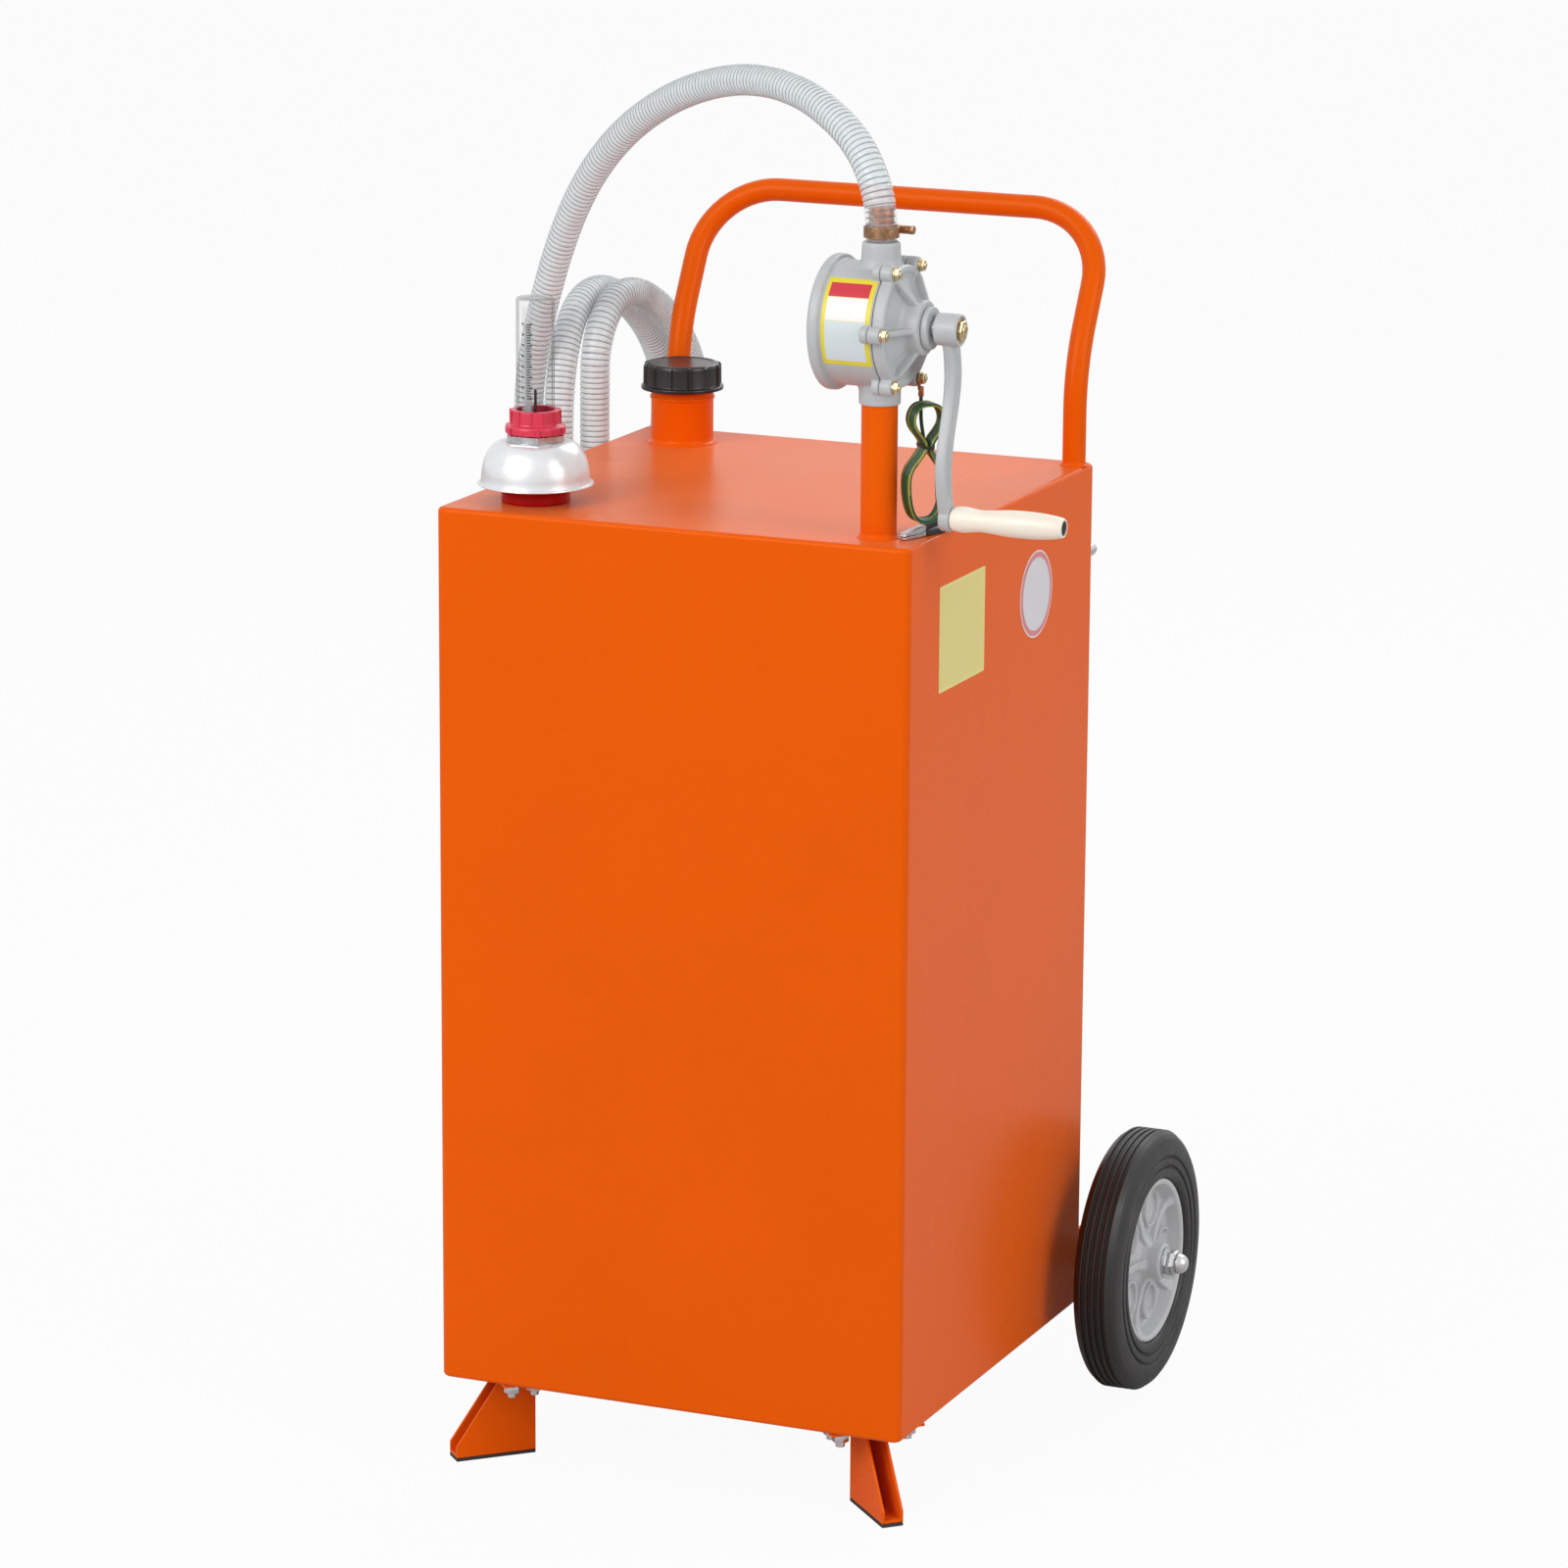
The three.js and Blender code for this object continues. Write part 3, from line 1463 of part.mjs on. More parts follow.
// Hooks: bent rods that carry the coil from below, one from the left wall and one from the rear wall.
function underCoil(turn) {
  const step = 1 / 1000;
  const before = coilPoint(turn - step);
  const ahead = coilPoint(turn + step).sub(before);
  const length = Math.hypot(ahead.y, ahead.z);
  const reach = hoseRadius + seatGap + hookRodRadius;
  const seat = coilPoint(turn);
  return [seat.y + (reach * ahead.z) / length, seat.z - (reach * ahead.y) / length];
}
const hookEndX = coilX - hoseRadius - hookPastCoil;
const [frontHookY, frontHookZ] = underCoil(hookTurnShares[0]);
const [rearHookY, rearHookZ] = underCoil(hookTurnShares[1]);
const frontHook = [
  new THREE.Vector3(-tankRight - seatGap, frontHookY, frontHookZ),
  new THREE.Vector3(hookEndX, frontHookY, frontHookZ),
  new THREE.Vector3(hookEndX, frontHookY, frontHookZ + hookLip),
];
const rearHookX = rearHookFromLeft - tankRight;
const rearHook = [
  new THREE.Vector3(rearHookX, tankBack + seatGap, rearHookZ),
  new THREE.Vector3(rearHookX, rearHookY, rearHookZ),
  new THREE.Vector3(hookEndX, rearHookY, rearHookZ),
  new THREE.Vector3(hookEndX, rearHookY, rearHookZ + hookLip),
];
const frontRoute = rounded(frontHook, [hookBendRadius], 4);
const rearRoute = rounded(rearHook, [hookBendRadius, hookBendRadius], 4);
add(part, "hose_hook_front", bar(frontRoute, hookRodRadius, 8), zincSteel);
add(part, "hose_hook_rear", bar(rearRoute, hookRodRadius, 8), zincSteel);

// Ground wire: a ring lug under a cover bolt, a lead, a hank drawn in at its waist, and a tail to the clip.
const wireRadius = wireDiameter / 2;
const lugAngle = (2 * Math.PI * lugBolt) / coverBolts;
const lugY = pumpY + boltCircleRadius * Math.cos(lugAngle);
const lugZ = pumpZ + boltCircleRadius * Math.sin(lugAngle);
const lugX = pumpX + coverFace + seatGap;
const lug = place(lugX, lugY, lugZ);
part.add(lug);
const barrelX = lugBarrelRadius;
const barrelTop = -lugRingRadius - lugBarrelRadius;
const barrelBottom = barrelTop - lugBarrelLength;
add(
  lug,
  "ground_lug",
  join(
    disc(lugRingRadius, 0, lugSheet, coarse, true),
    block(0, lugSheet, -lugBarrelRadius / 2, lugBarrelRadius / 2, barrelTop - lugBarrelRadius, 0),
    shift(disc(lugBarrelRadius, barrelBottom, barrelTop, 8), barrelX, 0, 0),
  ).subtract(disc(coverBoltRadius + seatGap, -overrun, lugSheet + overrun, 8, true)),
  copper,
);

const hankHalfHeight = hankHeight / 2 - wireRadius;
const hankMiddle = pumpZ - hankTopDrop - hankHeight / 2;
const hankWaist = pumpZ - hankWaistDrop;
const hankAlong = new THREE.Vector3(Math.cos(hankPlanAngle), Math.sin(hankPlanAngle), 0);
const hankFront = new THREE.Vector3(Math.sin(hankPlanAngle), -Math.cos(hankPlanAngle), 0);
const hankDepth = hankLoops * hankPitch;
const leadTop = new THREE.Vector3(lugX + barrelX, lugY, lugZ + barrelBottom - seatGap);
const hankCentre = new THREE.Vector3(tankRight - hankFromRight, hankFromFront - tankBack, 0);

// A point of the hank, in turns from its waist, going down the right run of its rear loop first: fuller
// than an ellipse, and each run drawn in to the waist in the same way.
const hankFullness = 2 / 3;
const waistShare = (hankWaist - hankMiddle) / hankHalfHeight;
const waistAngle = Math.asin(Math.sign(waistShare) * Math.abs(waistShare) ** (1 / hankFullness));
function hankPoint(turn) {
  const angle = waistAngle - 2 * Math.PI * turn;
  const full = (value) => Math.sign(value) * Math.abs(value) ** hankFullness;
  const up = hankHalfHeight * full(Math.sin(angle));
  const wide = hankHalfWidth * full(Math.cos(angle));
  const atWaist = Math.exp(-(((hankMiddle + up - hankWaist) / hankWaistReach) ** 2));
  const across = wide * (1 - atWaist) + Math.sign(wide) * hankWaistHalf * atWaist;
  return hankCentre
    .clone()
    .setZ(hankMiddle + up)
    .addScaledVector(hankAlong, across)
    .addScaledVector(hankFront, hankPitch * turn - hankDepth / 2);
}

function hankStations() {
  const perLoop = 24;
  const stations = [];
  for (let k = 0; k <= perLoop * hankLoops; k++) stations.push(hankPoint(k / perLoop));
  return stations;
}
const hank = hankStations();
const hankRoute = new Route(hank);
hankRoute.directions[0] = down;
hankRoute.directions[hank.length - 1] = down;
add(part, "ground_hank", bar(hankRoute, wireRadius, 6), greenWire);
console.log("ground hank's least gap to itself", leastGap(hank, wireDiameter).toFixed(2));

// The clip lies on the tank's top, its jaws towards the front. In its own frame X runs from the jaws to
// the grips.
const clipTip = new THREE.Vector3(
  tankRight - clipTipFromRight,
  clipTipFromFront - tankBack,
  tankTop + seatGap,
);
const clip = place(clipTip.x, clipTip.y, clipTip.z);
clip.rotation.z = clipPlanAngle;
part.add(clip);
const clipLength = clipJawLength + clipGripLength;
const clipLower = [
  [0, 0],
  [clipLength, 0],
  [clipLength, clipGripHeight],
  [clipJawLength, clipGripHeight],
  [clipJawLength, clipJawHeight],
  [0, clipJawHeight],
];
const upperZ = clipGripHeight + seatGap;
const clipUpper = [
  [0, clipJawHeight + seatGap],
  [clipJawLength - clipJawHeight, clipJawHeight + seatGap],
  [clipJawLength - clipJawHeight, upperZ],
  [clipJawLength, upperZ],
  [clipLength, upperZ + clipOpenRise],
  [clipLength, upperZ + clipOpenRise + clipGripHeight],
  [clipJawLength, upperZ + clipGripHeight],
  [0, clipJawHeight + seatGap + clipJawHeight],
];
add(clip, "clip_body", slabAcross(clipLower, clipWidth / 2), blackPlastic);
add(clip, "clip_jaw", slabAcross(clipUpper, clipWidth / 2), blackPlastic);

// The two free stretches of the wire, by hand between their fixed ends.
function wireBetween(name, start, middle, end, endWay) {
  const points = [start, start.clone().setZ(start.z - wireDiameter), ...middle];
  points.push(end.clone().addScaledVector(endWay, -wireDiameter), end);
  const curve = new THREE.CatmullRomCurve3(points, false, "centripetal");
  const steps = 16;
  const stations = curve.getSpacedPoints(steps);
  const route = new Route(stations);
  route.directions[0] = down;
  route.directions[steps] = endWay;
  add(part, name, bar(route, wireRadius, 8), greenWire);
  return curve.getLength();
}

const hankStart = hank[0].clone().setZ(hank[0].z + seatGap);
const leadShares = [[0.02, 0.3], [0.12, 0.5], [0.45, 0.68], [0.85, 0.84]];
const leadMiddle = leadShares.map(([across, drop]) => {
  const place = leadTop.clone().lerp(hankStart, across);
  return place.setZ(leadTop.z + (hankStart.z - leadTop.z) * drop);
});
const leadLength = wireBetween("ground_lead", leadTop, leadMiddle, hankStart, down);

const hankEnd = hank.at(-1).clone().setZ(hank.at(-1).z - seatGap);
const clipWay = new THREE.Vector3(-Math.cos(clipPlanAngle), -Math.sin(clipPlanAngle), 0);
const clipRear = clipTip.clone().addScaledVector(clipWay, -clipLength - seatGap);
clipRear.z = clipTip.z + clipGripHeight / 2;
// Away from the tank's right and front sides, and over its top.
const tailPlaces = [
  [-3, 49, 62],
  [-3.7, 48, 45],
  [-4.6, 49, 30],
  [-6.5, 54, 18],
  [-8.4, 64, 10],
  [-9, 76, 5],
  [-8, 87.5, 2.6],
  [-3.2, 92.5, 2.3],
  [1, 88, 2.3],
];
const tailMiddle = tailPlaces.map(([fromRight, fromFront, over]) =>
  new THREE.Vector3(tankRight - fromRight, fromFront - tankBack, tankTop + over),
);
const tailLength = wireBetween("ground_tail", hankEnd, tailMiddle, clipRear, clipWay);
console.log("ground wire length", (leadLength + lengthOf(hank) + tailLength).toFixed(0));

export default part;
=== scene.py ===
"""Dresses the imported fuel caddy: paint, castings, clear ribbed hose, rubber, wheels, stage and camera."""
import math

import bmesh
import bpy
from bpy.props import FloatProperty, FloatVectorProperty, IntProperty, PointerProperty
from bpy.types import Operator, Panel, PropertyGroup
from mathutils import Matrix, Vector


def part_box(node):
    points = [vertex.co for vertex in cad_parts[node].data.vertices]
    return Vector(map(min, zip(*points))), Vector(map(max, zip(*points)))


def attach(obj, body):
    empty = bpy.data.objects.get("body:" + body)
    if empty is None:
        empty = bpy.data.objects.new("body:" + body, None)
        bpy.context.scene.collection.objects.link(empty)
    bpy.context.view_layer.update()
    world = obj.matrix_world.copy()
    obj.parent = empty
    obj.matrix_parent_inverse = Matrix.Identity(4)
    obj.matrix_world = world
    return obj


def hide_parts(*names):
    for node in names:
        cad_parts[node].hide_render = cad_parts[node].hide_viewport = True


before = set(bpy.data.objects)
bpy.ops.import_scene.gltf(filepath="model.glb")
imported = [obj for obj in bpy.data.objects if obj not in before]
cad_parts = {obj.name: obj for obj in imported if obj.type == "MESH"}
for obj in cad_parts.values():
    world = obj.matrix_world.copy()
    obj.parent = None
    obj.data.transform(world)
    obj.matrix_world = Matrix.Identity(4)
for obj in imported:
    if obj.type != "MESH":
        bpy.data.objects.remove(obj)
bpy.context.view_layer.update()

bl_info = {
    "name": "Fuel caddy",
    "version": (1, 0, 0),
    "blender": (4, 5, 0),
    "location": "3D View > Sidebar > Fuel caddy",
    "description": "Builds a wheeled fuel caddy with its hand pump and hose, piece by piece",
    "category": "Object",
}

# Every size below is in millimetres from the middle of the tank's top, and becomes metres in at() and put().
UNIT = 0.001
tank_low, tank_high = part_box("tank_shell")
TOP_CENTRE = Vector(((tank_low.x + tank_high.x) / 2, (tank_low.y + tank_high.y) / 2, tank_high.z))
TANK_TALL = (tank_high.z - tank_low.z) / UNIT
GROUND = -tank_high.z / UNIT
WALL = 210  # from the tank's middle to the outside of a wall
GAP = 0.3  # between two neighbouring pieces
CLEARANCE = 75  # under the tank
HOSE_RADIUS = 13
WIRE_RADIUS = 1.5
WHEEL_RADIUS = 115


def at(x, y, up):
    """A place in the frame, in metres."""
    return TOP_CENTRE + Vector((x, y, up)) * UNIT


def linear(code):
    """An sRGB hex colour as linear red, green and blue."""
    values = [int(code[i : i + 2], 16) / 255 for i in (0, 2, 4)]
    return [v / 12.92 if v <= 0.04045 else ((v + 0.055) / 1.055) ** 2.4 for v in values]


def paint_colour(code, name, description):
    """A colour that a user can change."""
    return FloatVectorProperty(
        name=name, description=description, subtype="COLOR", size=3, min=0, max=1, default=linear(code)
    )


def size(default, name, description):
    """A size that a user can change. Its default is in millimetres."""
    return FloatProperty(name=name, description=description, default=default * UNIT, unit="LENGTH", min=0)


class CaddyFinish(PropertyGroup):
    """Colours of the caddy's paints, plastics and rubbers"""

    paint: paint_colour("EA5B00", "Tank paint", "Colour of the powder coat on the tank, handle and feet")
    casting: paint_colour("B9BBBD", "Pump paint", "Colour of the enamel on the pump's castings and its crank")
    collar: paint_colour("D92F4E", "Gauge collar", "Colour of the moulded collar that holds the gauge's tube")
    gasket: paint_colour("B4090A", "Gauge gasket", "Colour of the rubber under the gauge's cover")
    grip: paint_colour("F4EADB", "Crank grip", "Colour of the turned wooden grip")
    tyre: paint_colour("1B1919", "Tyre", "Colour of the tyre's rubber")
    hub: paint_colour("C6C7C9", "Wheel hub", "Colour of the moulded wheel hub")
    wire: paint_colour("14502F", "Wire", "Main colour of the ground wire's insulation")
    stripe: paint_colour("A39A2E", "Wire stripe", "Colour of the stripe that runs along the ground wire")


class CaddyHose(PropertyGroup):
    """Sizes of the ribbed hose"""

    diameter: size(2 * HOSE_RADIUS, "Diameter", "Outer diameter of the hose over its ribs")
    bore: size(20.6, "Bore", "Inner diameter of the hose")
    rib_pitch: size(4.7, "Rib pitch", "Way from one rib to the next along the hose")
    rib_height: size(1.1, "Rib height", "Height of a rib over the valley beside it")
    sides: IntProperty(name="Sides", description="Facets round the hose", default=20, min=8, max=64)


class CaddyDetails(PropertyGroup):
    """Counts and depths of the wheels' and the cap's details"""

    spokes: IntProperty(name="Spokes", description="Ribs between the hub's pockets", default=5, min=3, max=9)
    groove_depth: size(2.2, "Groove depth", "Depth of the grooves round the tread")
    cap_ribs: IntProperty(name="Cap ribs", description="Grip ribs round the filler's cap", default=12, min=6, max=24)


def finish_values():
    """The colours set in the sidebar."""
    return bpy.context.scene.caddy_finish


# Materials

def node(tree, kind, values=None, links=None, **settings):
    """One shader node, with its settings, the values of its sockets and what is linked into them."""
    made = tree.nodes.new(kind)
    for name, value in settings.items():
        setattr(made, name, value)
    for name, value in (values or {}).items():
        made.inputs[name].default_value = value
    for name, socket in (links or {}).items():
        tree.links.new(socket, made.inputs[name])
    return made


def colour(value):
    """A hex code or a linear colour as a socket's four values."""
    return (*(linear(value) if isinstance(value, str) else value), 1)


def surface(name, base, rough, grain=None, shade=0.0, shade_size=60, rough_swing=0.0, stretch=(1, 1, 1), **shader):
    """A material: its base colour with a slow change of shade, a little swing in its gloss, and a fine grain.
    grain is the grain's size and height, and shade_size the size of a patch of shade, all in millimetres."""
    found = bpy.data.materials.get(name)
    if found:
        return found
    made = bpy.data.materials.new(name)
    made.use_nodes = True
    tree = made.node_tree
    tree.nodes.clear()
    out = node(tree, "ShaderNodeOutputMaterial")
    values = {"Base Color": colour(base), "Roughness": rough}
    values.update({key.replace("_", " "): value for key, value in shader.items()})
    skin = node(tree, "ShaderNodeBsdfPrincipled", values)
    tree.links.new(skin.outputs["BSDF"], out.inputs["Surface"])
    place = node(tree, "ShaderNodeTexCoord")
    spread = node(tree, "ShaderNodeMapping", {"Scale": stretch}, {"Vector": place.outputs["Object"]})

    def noise(width, **values):
        values = {"Scale": 1 / (width * UNIT), **values}
        return node(tree, "ShaderNodeTexNoise", values, {"Vector": spread.outputs["Vector"]}).outputs["Fac"]

    low, high = 0.3, 0.7  # nearly all of the noise's values lie between these
    if shade or rough_swing:
        slow = noise(shade_size, Detail=3.0, Roughness=0.55)
    if shade:
        ramp = node(tree, "ShaderNodeValToRGB", links={"Fac": slow})
        for stop, position, change in zip(ramp.color_ramp.elements, (low, high), (1 - shade, 1 + shade)):
            stop.position = position
            stop.color = [min(1, c * change) for c in colour(base)[:3]] + [1]
        tree.links.new(ramp.outputs["Color"], skin.inputs["Base Color"])
    if rough_swing:
        ends = {"From Min": low, "From Max": high, "To Min": rough - rough_swing, "To Max": rough + rough_swing}
        swing = node(tree, "ShaderNodeMapRange", ends, {"Value": slow})
        tree.links.new(swing.outputs["Result"], skin.inputs["Roughness"])
    if grain:
        fine = noise(grain[0], Detail=2.0)
        bump = node(tree, "ShaderNodeBump", {"Strength": 1.0, "Distance": grain[1] * UNIT}, {"Height": fine})
        tree.links.new(bump.outputs["Normal"], skin.inputs["Normal"])
    return made


def powder_coat():
    # Polyester powder baked on sheet steel: an even colour, a soft gloss, a warm haze where it is seen at a low
    # angle, and a faint orange peel 3 mm across.
    return surface(
        "PowderCoatedSteel", finish_values().paint, 0.28, (3.2, 0.006), 0.02, 160, 0.02, IOR=1.5,
        Specular_IOR_Level=0.12, Specular_Tint=(1, 0.8, 0.5, 1),
        Sheen_Weight=0.22, Sheen_Roughness=0.4, Sheen_Tint=(1, 0.6, 0.28, 1),
    )


def pump_enamel():
    # Grey enamel over sand-cast aluminium: satin, with the casting's grain drawn 1.4 mm wide so that it shows.
    return surface("EnamelledCastAluminium", finish_values().casting, 0.42, (1.4, 0.05), 0.04, 25, 0.06, IOR=1.5)


def zinc():
    # Bright zinc plating on turned steel: metal, lightly clouded.
    return surface("ZincPlatedSteel", "C9CACC", 0.28, (0.9, 0.01), 0.06, 9, 0.08, Metallic=1.0)


def brass():
    # Drawn brass bar: yellow metal with a satin skin.
    return surface("DrawnBrass", "D9C79C", 0.28, (0.8, 0.01), 0.06, 7, 0.07, Metallic=1.0)


def tinned_copper():
    # Crimped copper sheet: red metal, dulled by handling.
    return surface("CrimpedCopper", "B5714A", 0.36, (0.7, 0.02), 0.12, 5, 0.08, Metallic=1.0)


def clamp_steel():
    # Yellow-passivated steel band: a coppery sheen on metal.
    return surface("PassivatedSteelBand", "B98F6C", 0.26, (0.8, 0.01), 0.14, 6, 0.08, Metallic=1.0)


def cap_plastic():
    # Black polyethylene, moulded: dark, with a soft broad shine.
    return surface("MouldedBlackPolyethylene", "1C191A", 0.3, (0.9, 0.01), 0.05, 20, 0.04, IOR=1.5)


def sleeve_plastic():
    # Soft black vinyl dipped over metal: dark and slightly glossy.
    return surface("DippedBlackVinyl", "1D1B1B", 0.4, (1.0, 0.03), 0.08, 8, 0.05, IOR=1.53)


def tyre_rubber():
    # Vulcanised rubber: almost black, matt on the tread, with a fine skin.
    return surface("VulcanisedRubber", finish_values().tyre, 0.46, (1.1, 0.05), 0.12, 24, 0.07, IOR=1.52)


def pad_rubber():
    # Moulded black rubber: matt, worn a little brown.
    return surface("MouldedBlackRubber", "2B2624", 0.7, (1.0, 0.05), 0.1, 12, 0.05, IOR=1.52)


def hub_plastic():
    # Grey polypropylene, moulded: satin with a faint flow pattern.
    return surface("MouldedGreyPolypropylene", finish_values().hub, 0.4, (1.6, 0.02), 0.03, 30, 0.05, IOR=1.49)


def gasket_rubber():
    # Red nitrile rubber: saturated, with a soft shine.
    return surface(
        "RedNitrileRubber", finish_values().gasket, 0.34, (1.2, 0.02), 0.08, 14, 0.05, IOR=1.52,
        Specular_IOR_Level=0.12,
    )


def dome_lacquer():
    # Silver lacquer over moulded plastic: fine flake, soft highlight.
    return surface("SilverLacqueredPlastic", "E3E4E6", 0.32, (0.6, 0.012), 0.03, 12, 0.04, Metallic=0.45, IOR=1.5)


def collar_plastic():
    # Red nylon, moulded: slightly translucent, with a smooth skin.
    return surface("MouldedRedNylon", finish_values().collar, 0.3, (1.2, 0.015), 0.05, 12, 0.04, IOR=1.53)


def clear_acrylic():
    # Clear acrylic tube: painted grey shade where the wall is seen edge on, standing in for the light the wall bends
    # away, and nearly nothing between.
    made = surface("ClearAcrylic", "4A4F53", 0.06, IOR=1.49)
    tree = made.node_tree
    skin = next(n for n in tree.nodes if n.type == "BSDF_PRINCIPLED")
    # The grey base colour is painted shade, shown more as the wall turns edge on to the camera.
    edge = node(tree, "ShaderNodeLayerWeight", {"Blend": 0.5})
    ends = {"From Min": 0.62, "From Max": 0.95, "To Min": 0.03, "To Max": 0.95}
    fade = node(tree, "ShaderNodeMapRange", ends, {"Value": edge.outputs["Facing"]})
    tree.links.new(fade.outputs["Result"], skin.inputs["Alpha"])
    return made


def hose_vinyl():
    # Clear vinyl over the hose's round ribs: milky with scattered light, with a wet shine.
    return surface("ClearRibbedVinyl", "F2F9FC", 0.12, (2.4, 0.03), 0.02, 9, 0.04, IOR=1.53, Alpha=0.5)


def hose_valley():
    # The thin valley between two ribs, where the vinyl bends the light away and reads grey.
    return surface("ClearVinylValley", "8F979C", 0.2, (2.0, 0.04), 0.3, 6, 0.05, IOR=1.53, Alpha=0.66)


def hose_foot():
    # The same vinyl stretched thin over the metal insert, so the metal shows through it.
    return surface("StretchedClearVinyl", "EDEBE8", 0.12, (2.4, 0.03), 0.02, 9, 0.04, IOR=1.53, Alpha=0.16)


def hose_lining():
    # The bore's smooth wall, seen through the ribs.
    return surface("ClearVinylBore", "F0F6F9", 0.2, (3.0, 0.03), 0.06, 12, 0.05, IOR=1.53, Alpha=0.32)


def spout_plastic():
    # White polyethylene, moulded: waxy and even.
    return surface("MouldedWhitePolyethylene", "E9E9E5", 0.36, (1.1, 0.02), 0.03, 15, 0.04, IOR=1.5)


def grip_wood():
    # Turned beech under cream paint: the grain, 2 mm wide along the grip, only just shows through.
    along = (0.12, 1, 1)
    return surface("PaintedTurnedBeech", finish_values().grip, 0.36, (2.0, 0.05), 0.05, 7, 0.05, along, IOR=1.5)


def wire_vinyl():
    # Extruded vinyl insulation: dark green with a soft shine.
    return surface("GreenWireVinyl", finish_values().wire, 0.34, (0.8, 0.02), 0.1, 12, 0.05, IOR=1.53)


def stripe_vinyl():
    # The same insulation's stripe, extruded with it: dull yellow.
    return surface("YellowStripeVinyl", finish_values().stripe, 0.34, (0.8, 0.02), 0.1, 12, 0.05, IOR=1.53)


def label_vinyl(name, code):
    # Printed vinyl film: flat ink under a thin satin laminate.
    return surface("LabelFilm" + name, code, 0.38, (1.2, 0.008), 0.015, 30, 0.03, IOR=1.46)


def scale_film():
    # Clear polyester strip: only its gloss and its edges show.
    return surface("ClearPolyesterStrip", "E4E6E8", 0.2, IOR=1.57, Alpha=0.28)


def scale_band():
    # Grey ink printed on the strip: even and half see-through.
    return surface("PrintedGreyInk", "BEC1C4", 0.36, IOR=1.5, Alpha=0.7)


def recess_shade_steel():
    # The spindle's steel, painted nearly black as the shade in the recess at the grip's end: nearly no shine, so the
    # grip's end reads as a dark plug.
    return surface("SteelWithPaintedRecessShade", "171311", 0.8, (0.8, 0.03), 0.1, 4, 0.05)


# Meshes: each surface is (points, faces), in millimetres.

def skin_over(rings, loop=False, caps=True):
    """A surface over rings of points, each with as many points. It has flat ends, or runs round in a loop."""
    count = len(rings[0])
    points = [p for ring in rings for p in ring]
    faces = []
    last = len(rings) if loop else len(rings) - 1
    for i in range(last):
        here, there = i * count, ((i + 1) % len(rings)) * count
        for k in range(count):
            n = (k + 1) % count
            faces.append((here + k, here + n, there + n, there + k))
    if caps and not loop:
        faces.append(tuple(reversed(range(count))))
        faces.append(tuple(range((len(rings) - 1) * count, len(rings) * count)))
    return points, faces


def eased(profile, radius, steps=3):
    """A profile with its inner corners rounded, by no more than its short runs allow."""
    result = [profile[0]]
    for before, here, after in zip(profile, profile[1:], profile[2:]):
        a, b, c = Vector(before), Vector(here), Vector(after)
        reach = min(radius, (a - b).length * 0.45, (c - b).length * 0.45)
        if reach < 1e-4:
            result.append(here)
            continue
        start = b + (a - b).normalized() * reach
        end = b + (c - b).normalized() * reach
        for k in range(steps + 1):
            t = k / steps
            result.append(tuple(start * (1 - t) ** 2 + b * 2 * t * (1 - t) + end * t * t))
    result.append(profile[-1])
    return result


def circle(radius, count):
    """Points (a, b) at even steps round a circle."""
    angles = [math.tau * k / count for k in range(count)]
    return [(radius * math.cos(angle), radius * math.sin(angle)) for angle in angles]


def ring_at(outline, height, along="Z"):
    """A ring through (a, b) points, set at a height along the Z or the X axis."""
    return [Vector((a, b, height) if along == "Z" else (height, a, b)) for a, b in outline]


def turned(profile, segments=64, ease=0.5, along="Z"):
    """A profile of (radius, height) turned round the Z or the X axis. It begins and ends on the axis, or where it
    began."""
    points = eased(profile, ease) if ease else profile
    closed = profile[0] == profile[-1]
    rings = [ring_at(circle(radius, segments), height, along) for radius, height in points]
    return skin_over(rings[:-1] if closed else rings, loop=closed, caps=False)


def disc(radius, start, end, segments=48, ease=0.4, along="Z"):
    """A round bar or a flat disc."""
    return turned([(0, start), (radius, start), (radius, end), (0, end)], segments, ease, along)


def pipe(outer, inner, start, end, segments=64, ease=0.3, along="Z"):
    """A straight tube, a ring or a washer."""
    profile = [(inner, start), (outer, start), (outer, end), (inner, end), (inner, start)]
    return turned(profile, segments, ease, along)


def hexagon(across, start, end, along="Z", chamfer=0.06):
    """A bolt's or nut's six-sided head, chamfered at both ends. across is its width over two flats."""
    tall = (end - start) * 0.14  # of each chamfer
    levels = ((1 - chamfer, start), (1, start + tall), (1, end - tall), (1 - chamfer, end))
    return skin_over([ring_at(circle(across / math.sqrt(3) * share, 6), height, along) for share, height in levels])


def prism(outline, start, end, axis="Z"):
    """A flat outline made thick: (x, y) points along Z, (y, z) points along X, or (x, z) points along Y."""
    def place(a, b, c):
        return Vector({"Z": (a, b, c), "X": (c, a, b), "Y": (a, c, b)}[axis])

    return skin_over([[place(a, b, c) for a, b in outline] for c in (start, end)])


def rounded_outline(width, depth, radius, steps=8):
    """An oblong with rounded corners, as (a, b) points round its middle."""
    points = []
    for corner in range(4):
        a = (width / 2 - radius) * (1 if corner in (0, 3) else -1)
        b = (depth / 2 - radius) * (1 if corner < 2 else -1)
        for k in range(steps + 1):
            angle = math.pi / 2 * (corner + k / steps)
            points.append((a + radius * math.cos(angle), b + radius * math.sin(angle)))
    return points


def swept(line, radius, sides=24, caps=True):
    """A tube along a line of points. radius is a number, or a function of the way along and the angle."""
    rings = []
    way = 0.0
    across = (line[1] - line[0]).normalized().orthogonal().normalized()
    for i, point in enumerate(line):
        if i:
            way += (point - line[i - 1]).length
        ahead = line[min(i + 1, len(line) - 1)] - line[max(i - 1, 0)]
        ahead.normalize()
        across = (across - ahead * across.dot(ahead)).normalized()
        over = ahead.cross(across)
        ring = []
        for k in range(sides):
            angle = 2 * math.pi * k / sides
            reach = radius(way, angle) if callable(radius) else radius
            ring.append(point + across * (reach * math.cos(angle)) + over * (reach * math.sin(angle)))
        rings.append(ring)
    return skin_over(rings, caps=caps)


